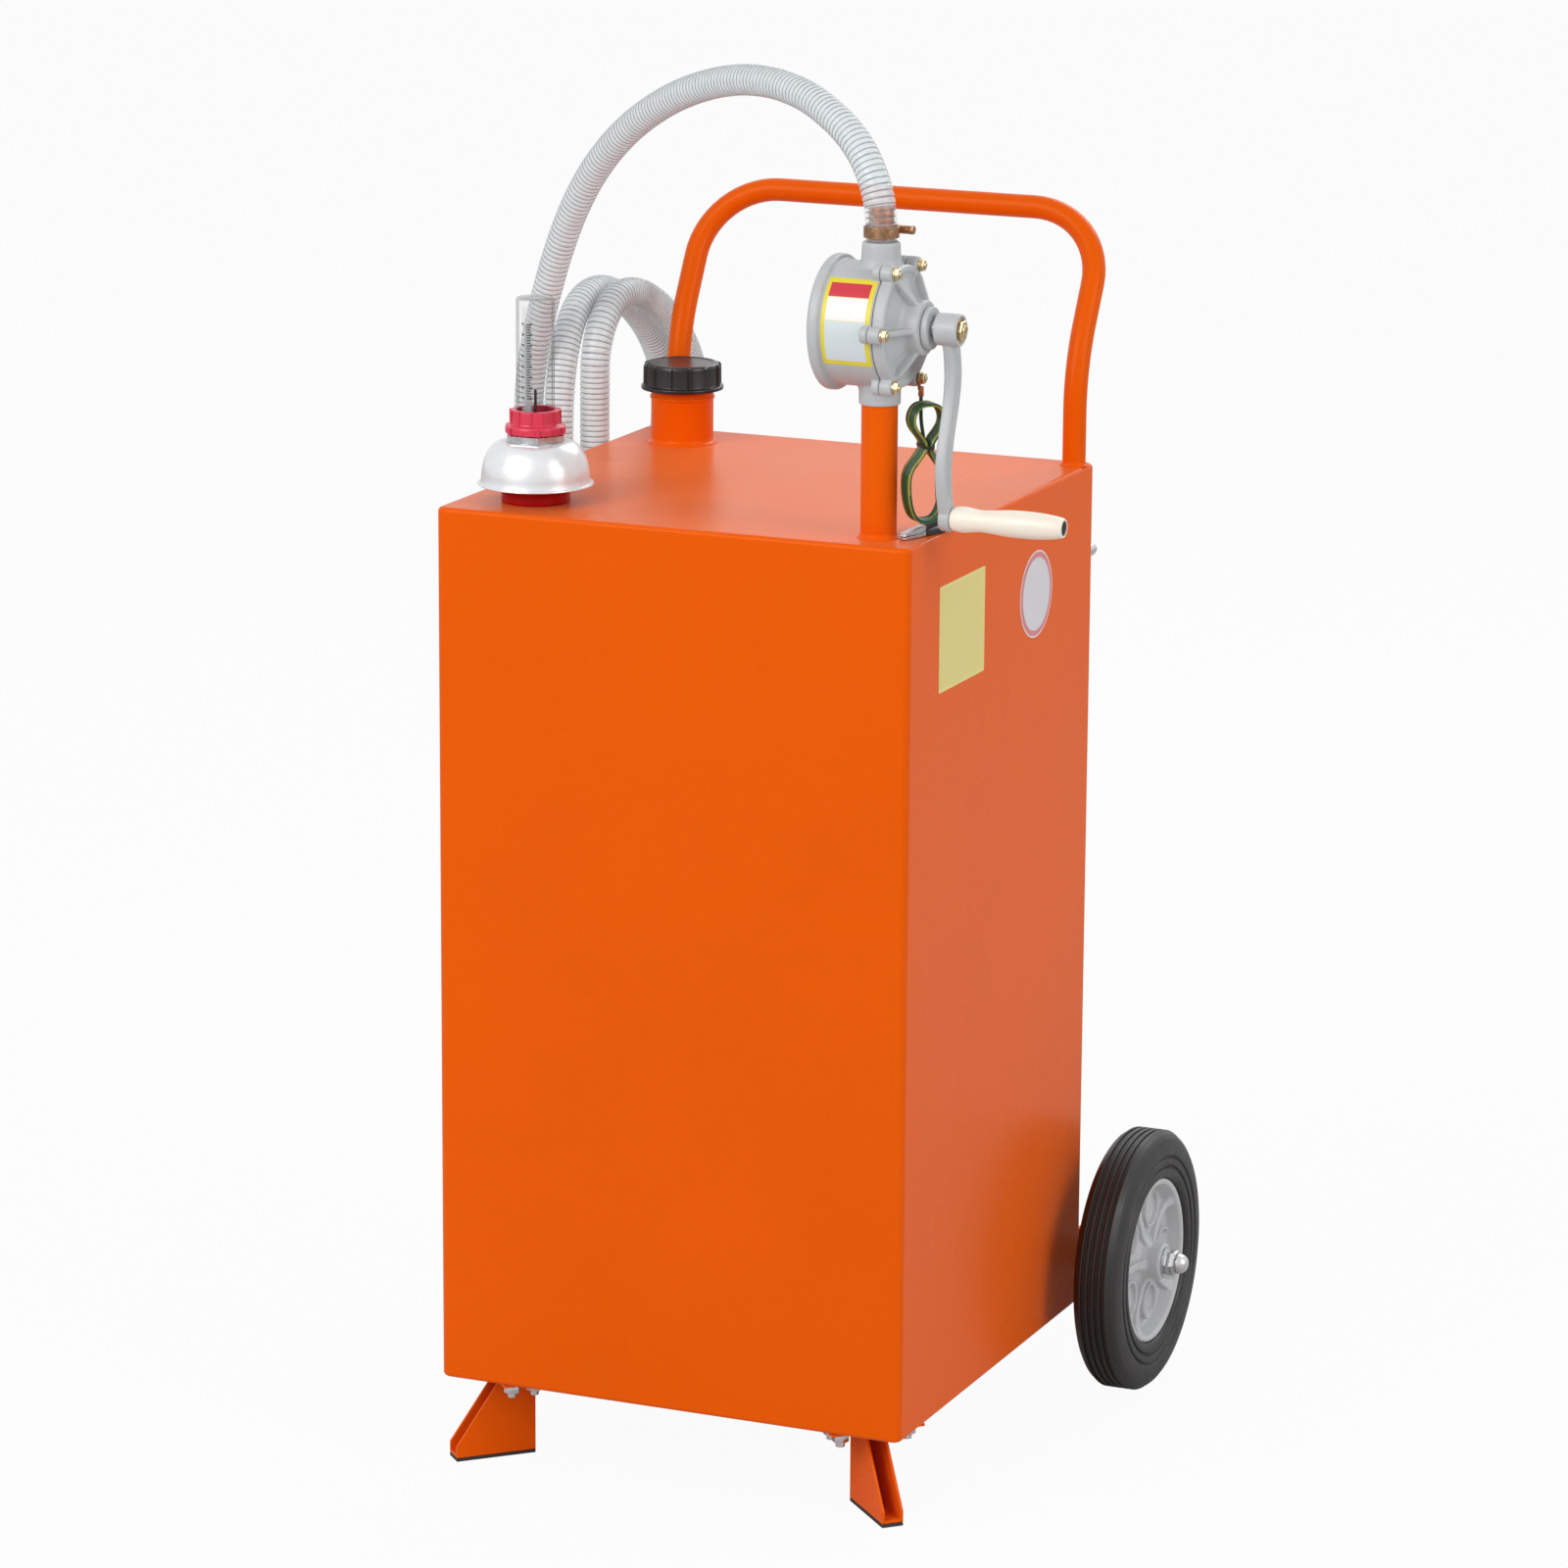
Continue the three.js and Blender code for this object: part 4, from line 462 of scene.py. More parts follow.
def bent_line(corners, radii, steps=14, straight=8):
    """Points along a line through corners, with each inner corner rounded by its radius."""
    corners = [Vector(c) for c in corners]
    points = [corners[0]]
    for before, here, after, radius in zip(corners, corners[1:], corners[2:], radii):
        arrive, leave = (here - before).normalized(), (after - here).normalized()
        turn = arrive.angle(leave)
        inward = (leave - arrive * math.cos(turn)).normalized()
        start = here - arrive * (radius * math.tan(turn / 2))
        previous = points[-1]
        for k in range(1, straight):
            points.append(previous.lerp(start, k / straight))
        for k in range(steps + 1):
            angle = turn * k / steps
            points.append(start + arrive * (radius * math.sin(angle)) + inward * (radius * (1 - math.cos(angle))))
    previous = points[-1]
    for k in range(1, straight + 1):
        points.append(previous.lerp(corners[-1], k / straight))
    return points


def smooth_line(points, per_span=12):
    """A centripetal Catmull-Rom curve through the points."""
    points = [Vector(p) for p in points]
    ends = [points[0] * 2 - points[1], *points, points[-1] * 2 - points[-2]]
    result = []
    for p0, p1, p2, p3 in zip(ends, ends[1:], ends[2:], ends[3:]):
        d0, d1, d2 = (math.sqrt((b - a).length) for a, b in ((p0, p1), (p1, p2), (p2, p3)))
        m1 = ((p1 - p0) / d0 - (p2 - p0) / (d0 + d1) + (p2 - p1) / d1) * d1
        m2 = ((p2 - p1) / d1 - (p3 - p1) / (d1 + d2) + (p3 - p2) / d2) * d1
        for k in range(per_span):
            t = k / per_span
            squared, cubed = p1 * -3 + p2 * 3 - m1 * 2 - m2, p1 * 2 - p2 * 2 + m1 + m2
            result.append(p1 + m1 * t + squared * t**2 + cubed * t**3)
    result.append(points[-1])
    return result


def length_of(line):
    """The way along a line of points."""
    return sum((b - a).length for a, b in zip(line, line[1:]))


def evenly(line, step):
    """The same line with its points a fixed step apart."""
    ways = [0.0]
    for a, b in zip(line, line[1:]):
        ways.append(ways[-1] + (b - a).length)
    count = max(2, round(ways[-1] / step))
    result, i = [], 0
    for k in range(count + 1):
        want = ways[-1] * k / count
        while i < len(line) - 2 and ways[i + 1] < want:
            i += 1
        span = max(ways[i + 1] - ways[i], 1e-9)
        result.append(line[i].lerp(line[i + 1], (want - ways[i]) / span))
    return result


def turn_about(axis, degrees):
    """A turn about the X, Y or Z axis."""
    return Matrix.Rotation(math.radians(degrees), 3, axis)


def put(name, surfaces, materials, body, centre=(0, 0, 0), replaces=(), sharp=32, bevel=0.0, cast=None):
    """Joins surfaces into one piece and sets it on its body. A surface is (points, faces), alone or followed by a
    move, a turn and the number of its material. cast is the voxel size of a casting, whose surfaces run into each
    other."""
    origin = at(*centre)
    mesh = bpy.data.meshes.new(name)
    points, faces, looks = [], [], []
    for item in surfaces:
        parts = list(item) if isinstance(item[0], tuple) else [item]
        made, move, turn, look = (parts + [None] * 3)[:4]
        base = len(points)
        for p in made[0]:
            p = turn @ Vector(p) if turn else Vector(p)
            points.append(origin + (p + Vector(move or (0, 0, 0))) * UNIT)
        for face in made[1]:
            faces.append([base + k for k in face])
            looks.append(look or 0)
    mesh.from_pydata(points, [], faces)
    mesh.polygons.foreach_set("material_index", looks)
    piece = bpy.data.objects.new(name, mesh)
    bpy.context.scene.collection.objects.link(piece)
    for material in materials if isinstance(materials, list) else [materials]:
        mesh.materials.append(material)
    shaped = bmesh.new()
    shaped.from_mesh(mesh)
    bmesh.ops.remove_doubles(shaped, verts=shaped.verts, dist=2e-6)
    bmesh.ops.recalc_face_normals(shaped, faces=shaped.faces)
    shaped.to_mesh(mesh)
    shaped.free()
    mesh.polygons.foreach_set("use_smooth", [True] * len(mesh.polygons))
    mesh.set_sharp_from_angle(angle=math.radians(sharp))
    if cast:
        cells = piece.modifiers.new("Casting", "REMESH")
        cells.mode = "VOXEL"
        cells.voxel_size = cast * UNIT
        cells.use_smooth_shade = True
        soft = piece.modifiers.new("Soft edges", "SMOOTH")
        soft.factor = 0.5
        soft.iterations = 5
    elif bevel:
        edge = piece.modifiers.new("Edges", "BEVEL")
        edge.width = bevel * UNIT
        edge.segments = 3
        edge.limit_method = "ANGLE"
        edge.angle_limit = math.radians(30)
        piece.modifiers.new("Flat faces", "WEIGHTED_NORMAL").keep_sharp = True
    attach(piece, body)
    if replaces:
        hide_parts(*([replaces] if isinstance(replaces, str) else replaces))
    return piece


def round_copies(made, count, axis="X", start=0.0):
    """The same surface repeated round an axis."""
    return [(made, None, turn_about(axis, start + 360 * k / count)) for k in range(count)]


# Places shared by several pieces, from the caddy's own sizes. PORT is where the standpipe meets the tank.
FILLER = (-149, 148, 0)
GAUGE = (-147, -150, 0)
PORT = (168, -172, 0)
PUMP_UP = 172.5
PUMP = (PORT[0], PORT[1], PUMP_UP)
SHOULDER = 66.7  # of the pump's spigot, over the pump's axis
CRANK = 152  # from the pump's axis to the grip's
LUG_RING = 52.5  # radius on which the cover's bolts stand
COVER_FACE = 22.3  # of the cover's lugs, ahead of the pump's middle
AXLE = (0, 226, GROUND + WHEEL_RADIUS)

# The hose's line. A turn of its coil is level at its top where COIL_COSINE is the cosine of the turn's angle.
SPIGOT_SHOULDER = Vector((PORT[0], PORT[1], PUMP_UP + SHOULDER + GAP))
COIL_RADIUS, COIL_CORNER, COIL_PITCH = 128.0, 11.0, 29.0
COIL_SHARE = 8 * COIL_CORNER / COIL_RADIUS
COIL_COSINE = (math.sqrt(1 + COIL_SHARE**2 / 2) - 1) / COIL_SHARE
COIL_TURNS = 2 - math.acos(COIL_COSINE) / math.tau
COIL_RISE = math.sqrt(1 - COIL_COSINE**2) * (COIL_RADIUS + 2 * COIL_CORNER * COIL_COSINE)
COIL_OUT, COIL_FRONT, COIL_TOP = 51.25, WALL - 104, 118.5
TAIL_X = -225.0
COIL_CENTRE = Vector((TAIL_X - COIL_OUT, COIL_FRONT + COIL_RADIUS - COIL_CORNER, COIL_TOP - COIL_RISE))
TAIL_BEND, TAIL_SETTLE, TAIL_STRAIGHT = 60.0, 44.0, 28.0
INSERT_HEIGHT = 27.0
# The arch's points: how far towards the coil, as a share of the way, and how high, as a share of ARCH_RISE.
ARCH_RISE = 118.0
ARCH_SHARES = [
    (0, 0), (0, 0.068), (0.005, 0.232), (0.0168, 0.366), (0.0335, 0.476), (0.055, 0.578), (0.083, 0.67),
    (0.118, 0.752), (0.187, 0.862), (0.26, 0.916), (0.335, 0.922), (0.41, 0.885), (0.484, 0.812),
    (0.558, 0.707), (0.629, 0.572), (0.696, 0.41), (0.757, 0.22), (0.812, 0), (0.859, -0.248), (0.899, -0.522),
    (0.934, -0.82), (0.963, -1.12), (0.986, -1.42), (0.9985, -1.7),
]


def coil_point(turns):
    """A point of the coil: each turn is a triangle with very round corners, its first side upright at the front."""
    angle = math.tau * turns
    back = COIL_CORNER * math.cos(2 * angle) - COIL_RADIUS * math.cos(angle)
    up = -COIL_CORNER * math.sin(2 * angle) - COIL_RADIUS * math.sin(angle)
    return COIL_CENTRE + Vector((COIL_PITCH * turns, back, up))


def smoothstep(value, low, high):
    """0 up to low, 1 from high on, and an easy rise between them."""
    t = min(1, max(0, (value - low) / (high - low)))
    return t * t * (3 - 2 * t)


def hose_line():
    """The hose's centre line: the arch over the tank, the turns outside the left wall, and the tail to the spout."""
    start, coil = SPIGOT_SHOULDER, coil_point(0)
    across = Vector((coil.x - start.x, coil.y - start.y, 0))
    over = [start + across * a + Vector((0, 0, ARCH_RISE * up)) for a, up in ARCH_SHARES]
    line = smooth_line([*over, coil + Vector((0, 0, 26)), coil + Vector((0, 0, GAP))])
    steps, bend_steps, settle_steps = 96, 32, 12
    line += [coil_point(k / steps) for k in range(1, int(steps * COIL_TURNS) + 1)]
    top = coil_point(COIL_TURNS)
    length = math.pi / 2 * TAIL_BEND

    def outwards(way):
        return top.x + (TAIL_X - top.x) * smoothstep(way, length * 0.9, length + TAIL_SETTLE)

    for k in range(1, bend_steps + 1):
        angle = math.pi / 2 * k / bend_steps
        drop = TAIL_BEND * (1 - math.cos(angle))
        line.append(Vector((outwards(TAIL_BEND * angle), top.y - TAIL_BEND * math.sin(angle), top.z - drop)))
    for k in range(1, settle_steps + 1):
        way = TAIL_SETTLE * k / settle_steps
        line.append(Vector((outwards(length + way), top.y - TAIL_BEND, top.z - TAIL_BEND - way)))
    line.append(Vector((TAIL_X, top.y - TAIL_BEND, top.z - TAIL_BEND - TAIL_SETTLE - TAIL_STRAIGHT)))
    return line


# The wire's hank: loops side by side, drawn together at a waist by the tie.
HANK_CENTRE = Vector((201, -155, 0))
HANK_ALONG = Vector((math.cos(math.radians(45)), math.sin(math.radians(45)), 0))
HANK_FRONT = Vector((math.sin(math.radians(45)), -math.cos(math.radians(45)), 0))
HANK_LOOPS, HANK_PITCH = 5, 3.6
HANK_TALL = 98
HANK_MIDDLE = PUMP_UP - 62.5 - HANK_TALL / 2
HANK_HALF = HANK_TALL / 2 - WIRE_RADIUS
HANK_WIDE = 17  # from the middle to a side
HANK_WAIST = PUMP_UP - 98
WAIST_REACH, WAIST_WIDE = 14, 2.1


def squarer(value, power):
    """A sine or a cosine raised so that the oval drawn with it gets rounder or squarer corners."""
    return math.copysign(abs(value) ** power, value)


def hank_point(turn):
    """A point of the hank, counted in loops from its waist."""
    angle = math.asin(squarer((HANK_WAIST - HANK_MIDDLE) / HANK_HALF, 1.5)) - math.tau * turn
    up = HANK_HALF * squarer(math.sin(angle), 2 / 3)
    wide = HANK_WIDE * squarer(math.cos(angle), 2 / 3)
    drawn = math.exp(-(((HANK_MIDDLE + up - HANK_WAIST) / WAIST_REACH) ** 2))
    across = wide * (1 - drawn) + math.copysign(WAIST_WIDE, wide) * drawn
    depth = HANK_PITCH * turn - HANK_LOOPS * HANK_PITCH / 2
    return HANK_CENTRE + HANK_ALONG * across + HANK_FRONT * depth + Vector((0, 0, HANK_MIDDLE + up))


# The wire's lug on the cover's bolt, the wire's start in the lug's barrel, and the clip on the tank's top
LUG = Vector((PORT[0] + COVER_FACE + GAP, PORT[1] + LUG_RING / 2, PUMP_UP - LUG_RING * math.sin(math.pi / 3)))
BARREL_OUT, BARREL_TOP, BARREL_LONG = 2.2, 6.8, 8
LEAD_TOP = LUG + Vector((BARREL_OUT, 0, -BARREL_TOP - BARREL_LONG - GAP))
CLIP_TIP = Vector((190, -177, GAP))
CLIP_TURN = 72
CLIP_WAY = Vector((-math.cos(math.radians(CLIP_TURN)), -math.sin(math.radians(CLIP_TURN)), 0))
TAIL_PLACES = [
    (213, -161, 62), (213.7, -162, 45), (214.6, -161, 30), (216.5, -156, 18), (218.4, -146, 10), (219, -134, 5),
    (218, -122.5, 2.6), (213.2, -117.5, 2.3), (209, -122, 2.3),
]


def wire_line():
    """The ground wire's centre line: the lead from its lug, the hank, and the tail to the clip."""
    first, last = hank_point(0), hank_point(HANK_LOOPS)
    lead_end = first + Vector((0, 0, GAP))
    middle = []
    for across, drop in ((0.02, 0.3), (0.12, 0.5), (0.45, 0.68), (0.85, 0.84)):
        place = LEAD_TOP.lerp(lead_end, across)
        place.z = LEAD_TOP.z + (lead_end.z - LEAD_TOP.z) * drop
        middle.append(place)
    line = smooth_line([LEAD_TOP, LEAD_TOP - Vector((0, 0, 3)), *middle, lead_end + Vector((0, 0, 3)), lead_end])
    line += [hank_point(k / 96) for k in range(96 * HANK_LOOPS + 1)]
    tail_start = last - Vector((0, 0, GAP))
    rear = CLIP_TIP - CLIP_WAY * 50.3 + Vector((0, 0, 2))
    line += smooth_line([tail_start, tail_start - Vector((0, 0, 3)), *TAIL_PLACES, rear - CLIP_WAY * 3, rear])
    return line


# Pieces

class CADDY_OT_camera(Operator):
    """Sets the camera at the photograph's viewing angle"""

    bl_idname = "caddy.camera"
    bl_label = "Camera"

    def execute(self, context):
        turn, rise, roll = (math.radians(angle) for angle in (23.294, 13.5085, 0.3794))
        away, aside, above = 7.1105, 0.01584, 0.15172  # in heights of the tank, from its middle
        back = Vector((math.sin(turn) * math.cos(rise), -math.cos(turn) * math.cos(rise), math.sin(rise)))
        right = Vector((math.cos(turn), math.sin(turn), 0))
        up = back.cross(right)
        level_right = right * math.cos(roll) + up * math.sin(roll)
        level_up = up * math.cos(roll) - right * math.sin(roll)
        data = bpy.data.cameras.new("Camera")
        data.lens = 143.91
        data.sensor_width = 36
        data.clip_end = 100
        camera = bpy.data.objects.new("Camera", data)
        context.scene.collection.objects.link(camera)
        where = at(0, 0, -TANK_TALL / 2) + (back * away + right * aside + up * above) * TANK_TALL * UNIT
        camera.matrix_world = Matrix.Translation(where) @ Matrix((level_right, level_up, back)).transposed().to_4x4()
        context.scene.camera = camera
        return {"FINISHED"}


class CADDY_OT_hose(Operator):
    """Makes the clear ribbed hose with its metal insert, clamp, strap and spout"""

    bl_idname = "caddy.hose"
    bl_label = "Hose"

    def execute(self, context):
        sizes = context.scene.caddy_hose
        outer, bore = sizes.diameter / UNIT / 2, sizes.bore / UNIT / 2
        pitch, height, sides = sizes.rib_pitch / UNIT, sizes.rib_height / UNIT, sizes.sides
        roundness = 2.4  # of a rib's top
        valley_share = 0.13  # of the pitch, on each side of a valley's middle
        route = evenly(hose_line(), 3.0)
        fine = evenly(route, pitch / 8)
        ribs = length_of(fine) / pitch
        slices = len(fine) - 1

        def ribbed(way, angle):
            return outer - height * (1 - abs(math.sin(math.pi * way / pitch))) ** roundness

        points, faces = swept(fine, ribbed, sides, caps=False)
        crest, valley, foot = [], [], []
        for index, face in enumerate(faces):
            phase = (index // sides + 0.5) / slices * ribs
            part = foot if phase * pitch < INSERT_HEIGHT else crest
            (valley if abs(phase - round(phase)) < valley_share else part).append(face)
        lining = swept(route, bore, sides, caps=False)
        surfaces = [
            (made, None, None, look)
            for look, made in enumerate([(points, crest), (points, valley), lining, (points, foot)])
        ]
        hose = put(
            "Hose", surfaces, [hose_vinyl(), hose_valley(), hose_lining(), hose_foot()], "caddy",
            replaces=("hose_arch", "hose_coil"), sharp=180,
        )
        start, end = route[0], route[-1]
        nozzle = [
            (6.5, 0), (14, 0), (14, -3), (13.2, -4), (13.2, -6), (14, -7), (14, -10), (11, -10), (9, -40), (6.5, -40),
            (6.5, 0),
        ]
        spout = put(
            "HoseSpout", [turned(nozzle)], spout_plastic(), "caddy", centre=(end.x, end.y, end.z - GAP),
            replaces="hose_spout",
        )
        band = 14.3  # outer radius of the clamp's band
        screw = (0, band + 3.1, 4.5)
        clamp = put(
            "HoseClamp",
            [
                pipe(band, HOSE_RADIUS + GAP, 0, 9, 72, 0.25),
                (disc(3.4, -8, 16, 24, 0.3, "X"), screw),
                (disc(2.6, 16, 17.5, 24, 0.2, "X"), screw),
                (hexagon(6.6, 17, 21, "X"), screw),
                prism([(-8, 13.8), (8, 13.8), (8, 16), (7, 19), (-7, 19), (-8, 16)], 0.6, 8.4),
            ],
            clamp_steel(), "caddy", centre=(start.x, start.y, start.z + 3), replaces="hose_clamp",
            bevel=0.2,
        )
        insert = put(
            "HoseInsert",
            [
                pipe(9.8, 8.8, 0.2, INSERT_HEIGHT, 48),
                *[pipe(10.2, 8.8, 2.5 + pitch * k, 4.0 + pitch * k, 48, 0.3) for k in range(5)],
            ],
            tinned_copper(), "caddy", centre=tuple(start),
        )
        turn = 0.04  # where on the coil's turns the strap holds them
        middle = (coil_point(turn) + coil_point(turn + 1)) / 2
        way = coil_point(turn + turn / 2) - coil_point(turn - turn / 2)
        lean = Matrix.Rotation(math.atan2(way.y, -way.z), 3, "X")

        def round_both(radius, steps=16):
            """The outline of a strap round two hoses that lie side by side."""
            outline = []
            for side in (1, -1):
                for k in range(steps + 1):
                    angle = -side * math.pi / 2 + math.pi * k / steps
                    outline.append((side * COIL_PITCH / 2 + radius * math.cos(angle), radius * math.sin(angle)))
            return outline

        levels = ((13.9, -8), (15.1, -8), (15.35, -7.4), (15.35, 7.4), (15.1, 8), (13.9, 8))
        rings = [ring_at(round_both(radius), z) for radius, z in levels]
        strap = put(
            "HoseStrap", [(skin_over(rings, loop=True), None, lean)], sleeve_plastic(), "caddy",
            centre=tuple(middle), replaces="hose_strap",
        )
        return {"FINISHED"}


class CADDY_OT_ground_wire(Operator):
    """Makes the striped ground wire with its lug, tie and clip"""

    bl_idname = "caddy.ground_wire"
    bl_label = "Ground wire"

    def execute(self, context):
        route = evenly(wire_line(), 1.0)
        sides = 12
        stripe_wide, stripe_twist = 2.6, 0.035  # in facets, and in facets for each ring
        points, faces = swept(route, WIRE_RADIUS, sides)
        green, yellow = [], []
        for index, face in enumerate(faces):
            ring, k = divmod(index, sides)
            striped = ring < len(route) - 1 and (k - ring * stripe_twist) % sides < stripe_wide
            (yellow if striped else green).append(face)
        cord = put(
            "GroundWire", [((points, green), None, None, 0), ((points, yellow), None, None, 1)],
            [wire_vinyl(), stripe_vinyl()], "caddy",
            replaces=("ground_lead", "ground_hank", "ground_tail"), sharp=180,
        )
        lug = put(
            "GroundLug",
            [
                pipe(4.6, 2.6, 0, 1.1, 40, 0.2, "X"),
                prism([(-2.4, -9), (2.4, -9), (1.8, -3.6), (-1.8, -3.6)], 0.1, 1.2, "X"),
                (pipe(2.2, WIRE_RADIUS, -BARREL_TOP - BARREL_LONG, -BARREL_TOP, 28, 0.2), (BARREL_OUT, 0, 0)),
                (disc(2.45, -13.2, -12.2, 28, 0.2), (BARREL_OUT, 0, 0)),
            ],
            tinned_copper(), "caddy", centre=tuple(LUG), replaces="ground_lug",
        )
        tie_wide, tie_deep, tie_half, tie_thick = 4.0, 11.2, 1.3, 0.8
        tie_rings = []
        for reach, z in ((0, -tie_half), (tie_thick, -tie_half), (tie_thick, tie_half), (0, tie_half)):
            ring = []
            for cosine, sine in circle(1, 40):
                wide, deep = squarer(cosine, 0.6) * (tie_wide + reach), squarer(sine, 0.6) * (tie_deep + reach)
                ring.append(HANK_ALONG * wide + HANK_FRONT * deep + Vector((0, 0, z)))
            tie_rings.append(ring)
        tie = put(
            "GroundTie", [skin_over(tie_rings, loop=True)], sleeve_plastic(), "caddy",
            centre=(HANK_CENTRE.x, HANK_CENTRE.y, HANK_WAIST),
        )
        turn = turn_about("Z", CLIP_TURN)
        half, sleeve_half = 3.6, 4.5  # of the jaws' width and of their sleeves'
        teeth = []
        for k in range(6):
            teeth += [(1.2 + 2.6 * k, 2.3), (2.5 + 2.6 * k, 2.75)]
        lower = [(0, 0.4), (0.8, 0), (50, 0), (50, 4), (24, 4), (21, 2.4), *reversed(teeth), (0, 2.3)]
        upper = [(0, 3.0), (21, 3.0), (23, 4.3), (24.6, 4.4), (50, 8.3), (50, 12.3), (24, 8.3), (16, 7.4), (1, 5.1)]
        sleeve_low = [(27, -0.1), (50, -0.1), (50, 4.1), (27, 4.1)]
        sleeve_high = [(27, 4.65), (50, 8.2), (50, 12.5), (27, 8.95)]

        def clip_part(name, jaw, sleeve, body, cad_node):
            metal, vinyl = prism(jaw, -half, half, "Y"), prism(sleeve, -sleeve_half, sleeve_half, "Y")
            return put(
                name, [(metal, None, turn, 0), (vinyl, None, turn, 1)], [zinc(), sleeve_plastic()], body,
                centre=tuple(CLIP_TIP), replaces=cad_node, bevel=0.35,
            )

        below = clip_part("ClipBody", lower, sleeve_low, "caddy", "clip_body")
        above = clip_part("ClipJaw", upper, sleeve_high, "clip_jaw", "clip_jaw")
        return {"FINISHED"}


class CADDY_OT_tank(Operator):
    """Makes the painted sheet tank and its blank label plates"""

    bl_idname = "caddy.tank"
    bl_label = "Tank"

    def execute(self, context):
        edge, fold, steps = 4.0, 8.0, 6  # radii of the edges and of the upright folds
        angles = [math.pi / 2 * k / steps for k in range(steps + 1)]
        rounding = [(edge * (1 - math.sin(angle)), edge * (1 - math.cos(angle))) for angle in angles]
        layers = [(inset, -TANK_TALL + up) for inset, up in rounding]
        layers += [(inset, -up) for inset, up in reversed(rounding)]
        rings = []
        for inset, z in layers:
            wide = 2 * WALL - 2 * inset
            rings.append(ring_at(rounded_outline(wide, wide, fold - inset), z))
        tank = put(
            "TankShell", [skin_over(rings)], powder_coat(), "caddy", replaces="tank_shell",
            sharp=60,
        )
        tank.modifiers.new("Flat faces", "WEIGHTED_NORMAL").weight = 90
        film = 0.12  # thickness of a label's film

        def plate(name, outline, lift, code):
            made = prism(outline, WALL + lift, WALL + lift + film, "X")
            return put(name, [made], label_vinyl(name, code), "caddy")

        def oblong(y0, y1, z0, z1, radius=2):
            middle_y, middle_z = (y0 + y1) / 2, (z0 + z1) / 2
            shape = rounded_outline(y1 - y0, z1 - z0, radius, 4)
            return [(middle_y + y, middle_z + z) for y, z in shape]

        def round_plate(y, z, radius):
            return [(y + a, z + b) for a, b in circle(radius, 72)]

        plate("PanelPlate", oblong(-143, -44, -131, -43), 0.05, "E8D98A")
        plate("PanelPlateField", oblong(-139.5, -47.5, -127.5, -46.5, 1.2), 0.18, "E3D585")
        plate("RoundPlate", round_plate(73.5, -89, 37), 0.05, "E3E1E3")
        plate("RoundPlateRing", round_plate(73.5, -89, 35.6), 0.18, "D8848A")
        plate("RoundPlateField", round_plate(73.5, -89, 31), 0.31, "DAD8DC")
        return {"FINISHED"}


class CADDY_OT_filler(Operator):
    """Makes the filler's neck, its ribbed screw cap and the cap's gasket"""

    bl_idname = "caddy.filler"
    bl_label = "Filler"

    def execute(self, context):
        neck = [
            (25, 0), (30.2, 0), (29.3, 1.2), (27.6, 2.6), (27, 4.4), (27, 38.5), (28, 39), (28, 41), (27, 41.5),
            (27, 52), (28.2, 53), (28.2, 62), (27.4, 63.6), (26.4, 64.5), (25, 64.5), (25, 0),
        ]
        put("FillerNeck", [turned(neck, 96, 0.5)], powder_coat(), "caddy", FILLER, "filler_neck")
        outside = [
            (28.7, 47.1), (35.6, 47.1), (35.7, 50.2), (32.4, 51.2), (32.2, 67.4), (31.2, 69.4), (29.6, 70.1),
            (26.6, 70.1), (26, 69.5), (0, 69.5),
        ]
        rib_steps, rib_height = 16, 1.9
        segments = context.scene.caddy_details.cap_ribs * rib_steps
        rings = [ring_at(circle(radius, segments), 67.6) for radius in (0, 28.7)]
        for radius, z in eased(outside, 0.7):
            skirt = radius > 31 and 51 < z < 69.4
            ring = []
            for k in range(segments):
                share = (k % rib_steps) / rib_steps
                ridge = smoothstep(share, 0.06, 0.12) * (1 - smoothstep(share, 0.25, 0.31))
                reach = radius + (rib_height * ridge if skirt else 0)
                angle = math.tau * k / segments
                ring.append(Vector((reach * math.cos(angle), reach * math.sin(angle), z)))
            rings.append(ring)
        put(
            "FillerCap", [skin_over(rings, caps=False)], cap_plastic(), "cap", FILLER, "filler_cap",
            sharp=40,
        )
        put(
            "FillerCapGasket", [pipe(27, 13.5, 64.8, 67.3, 72, 0.5)], pad_rubber(), "cap_gasket", FILLER,
            "filler_cap_gasket",
        )
        return {"FINISHED"}


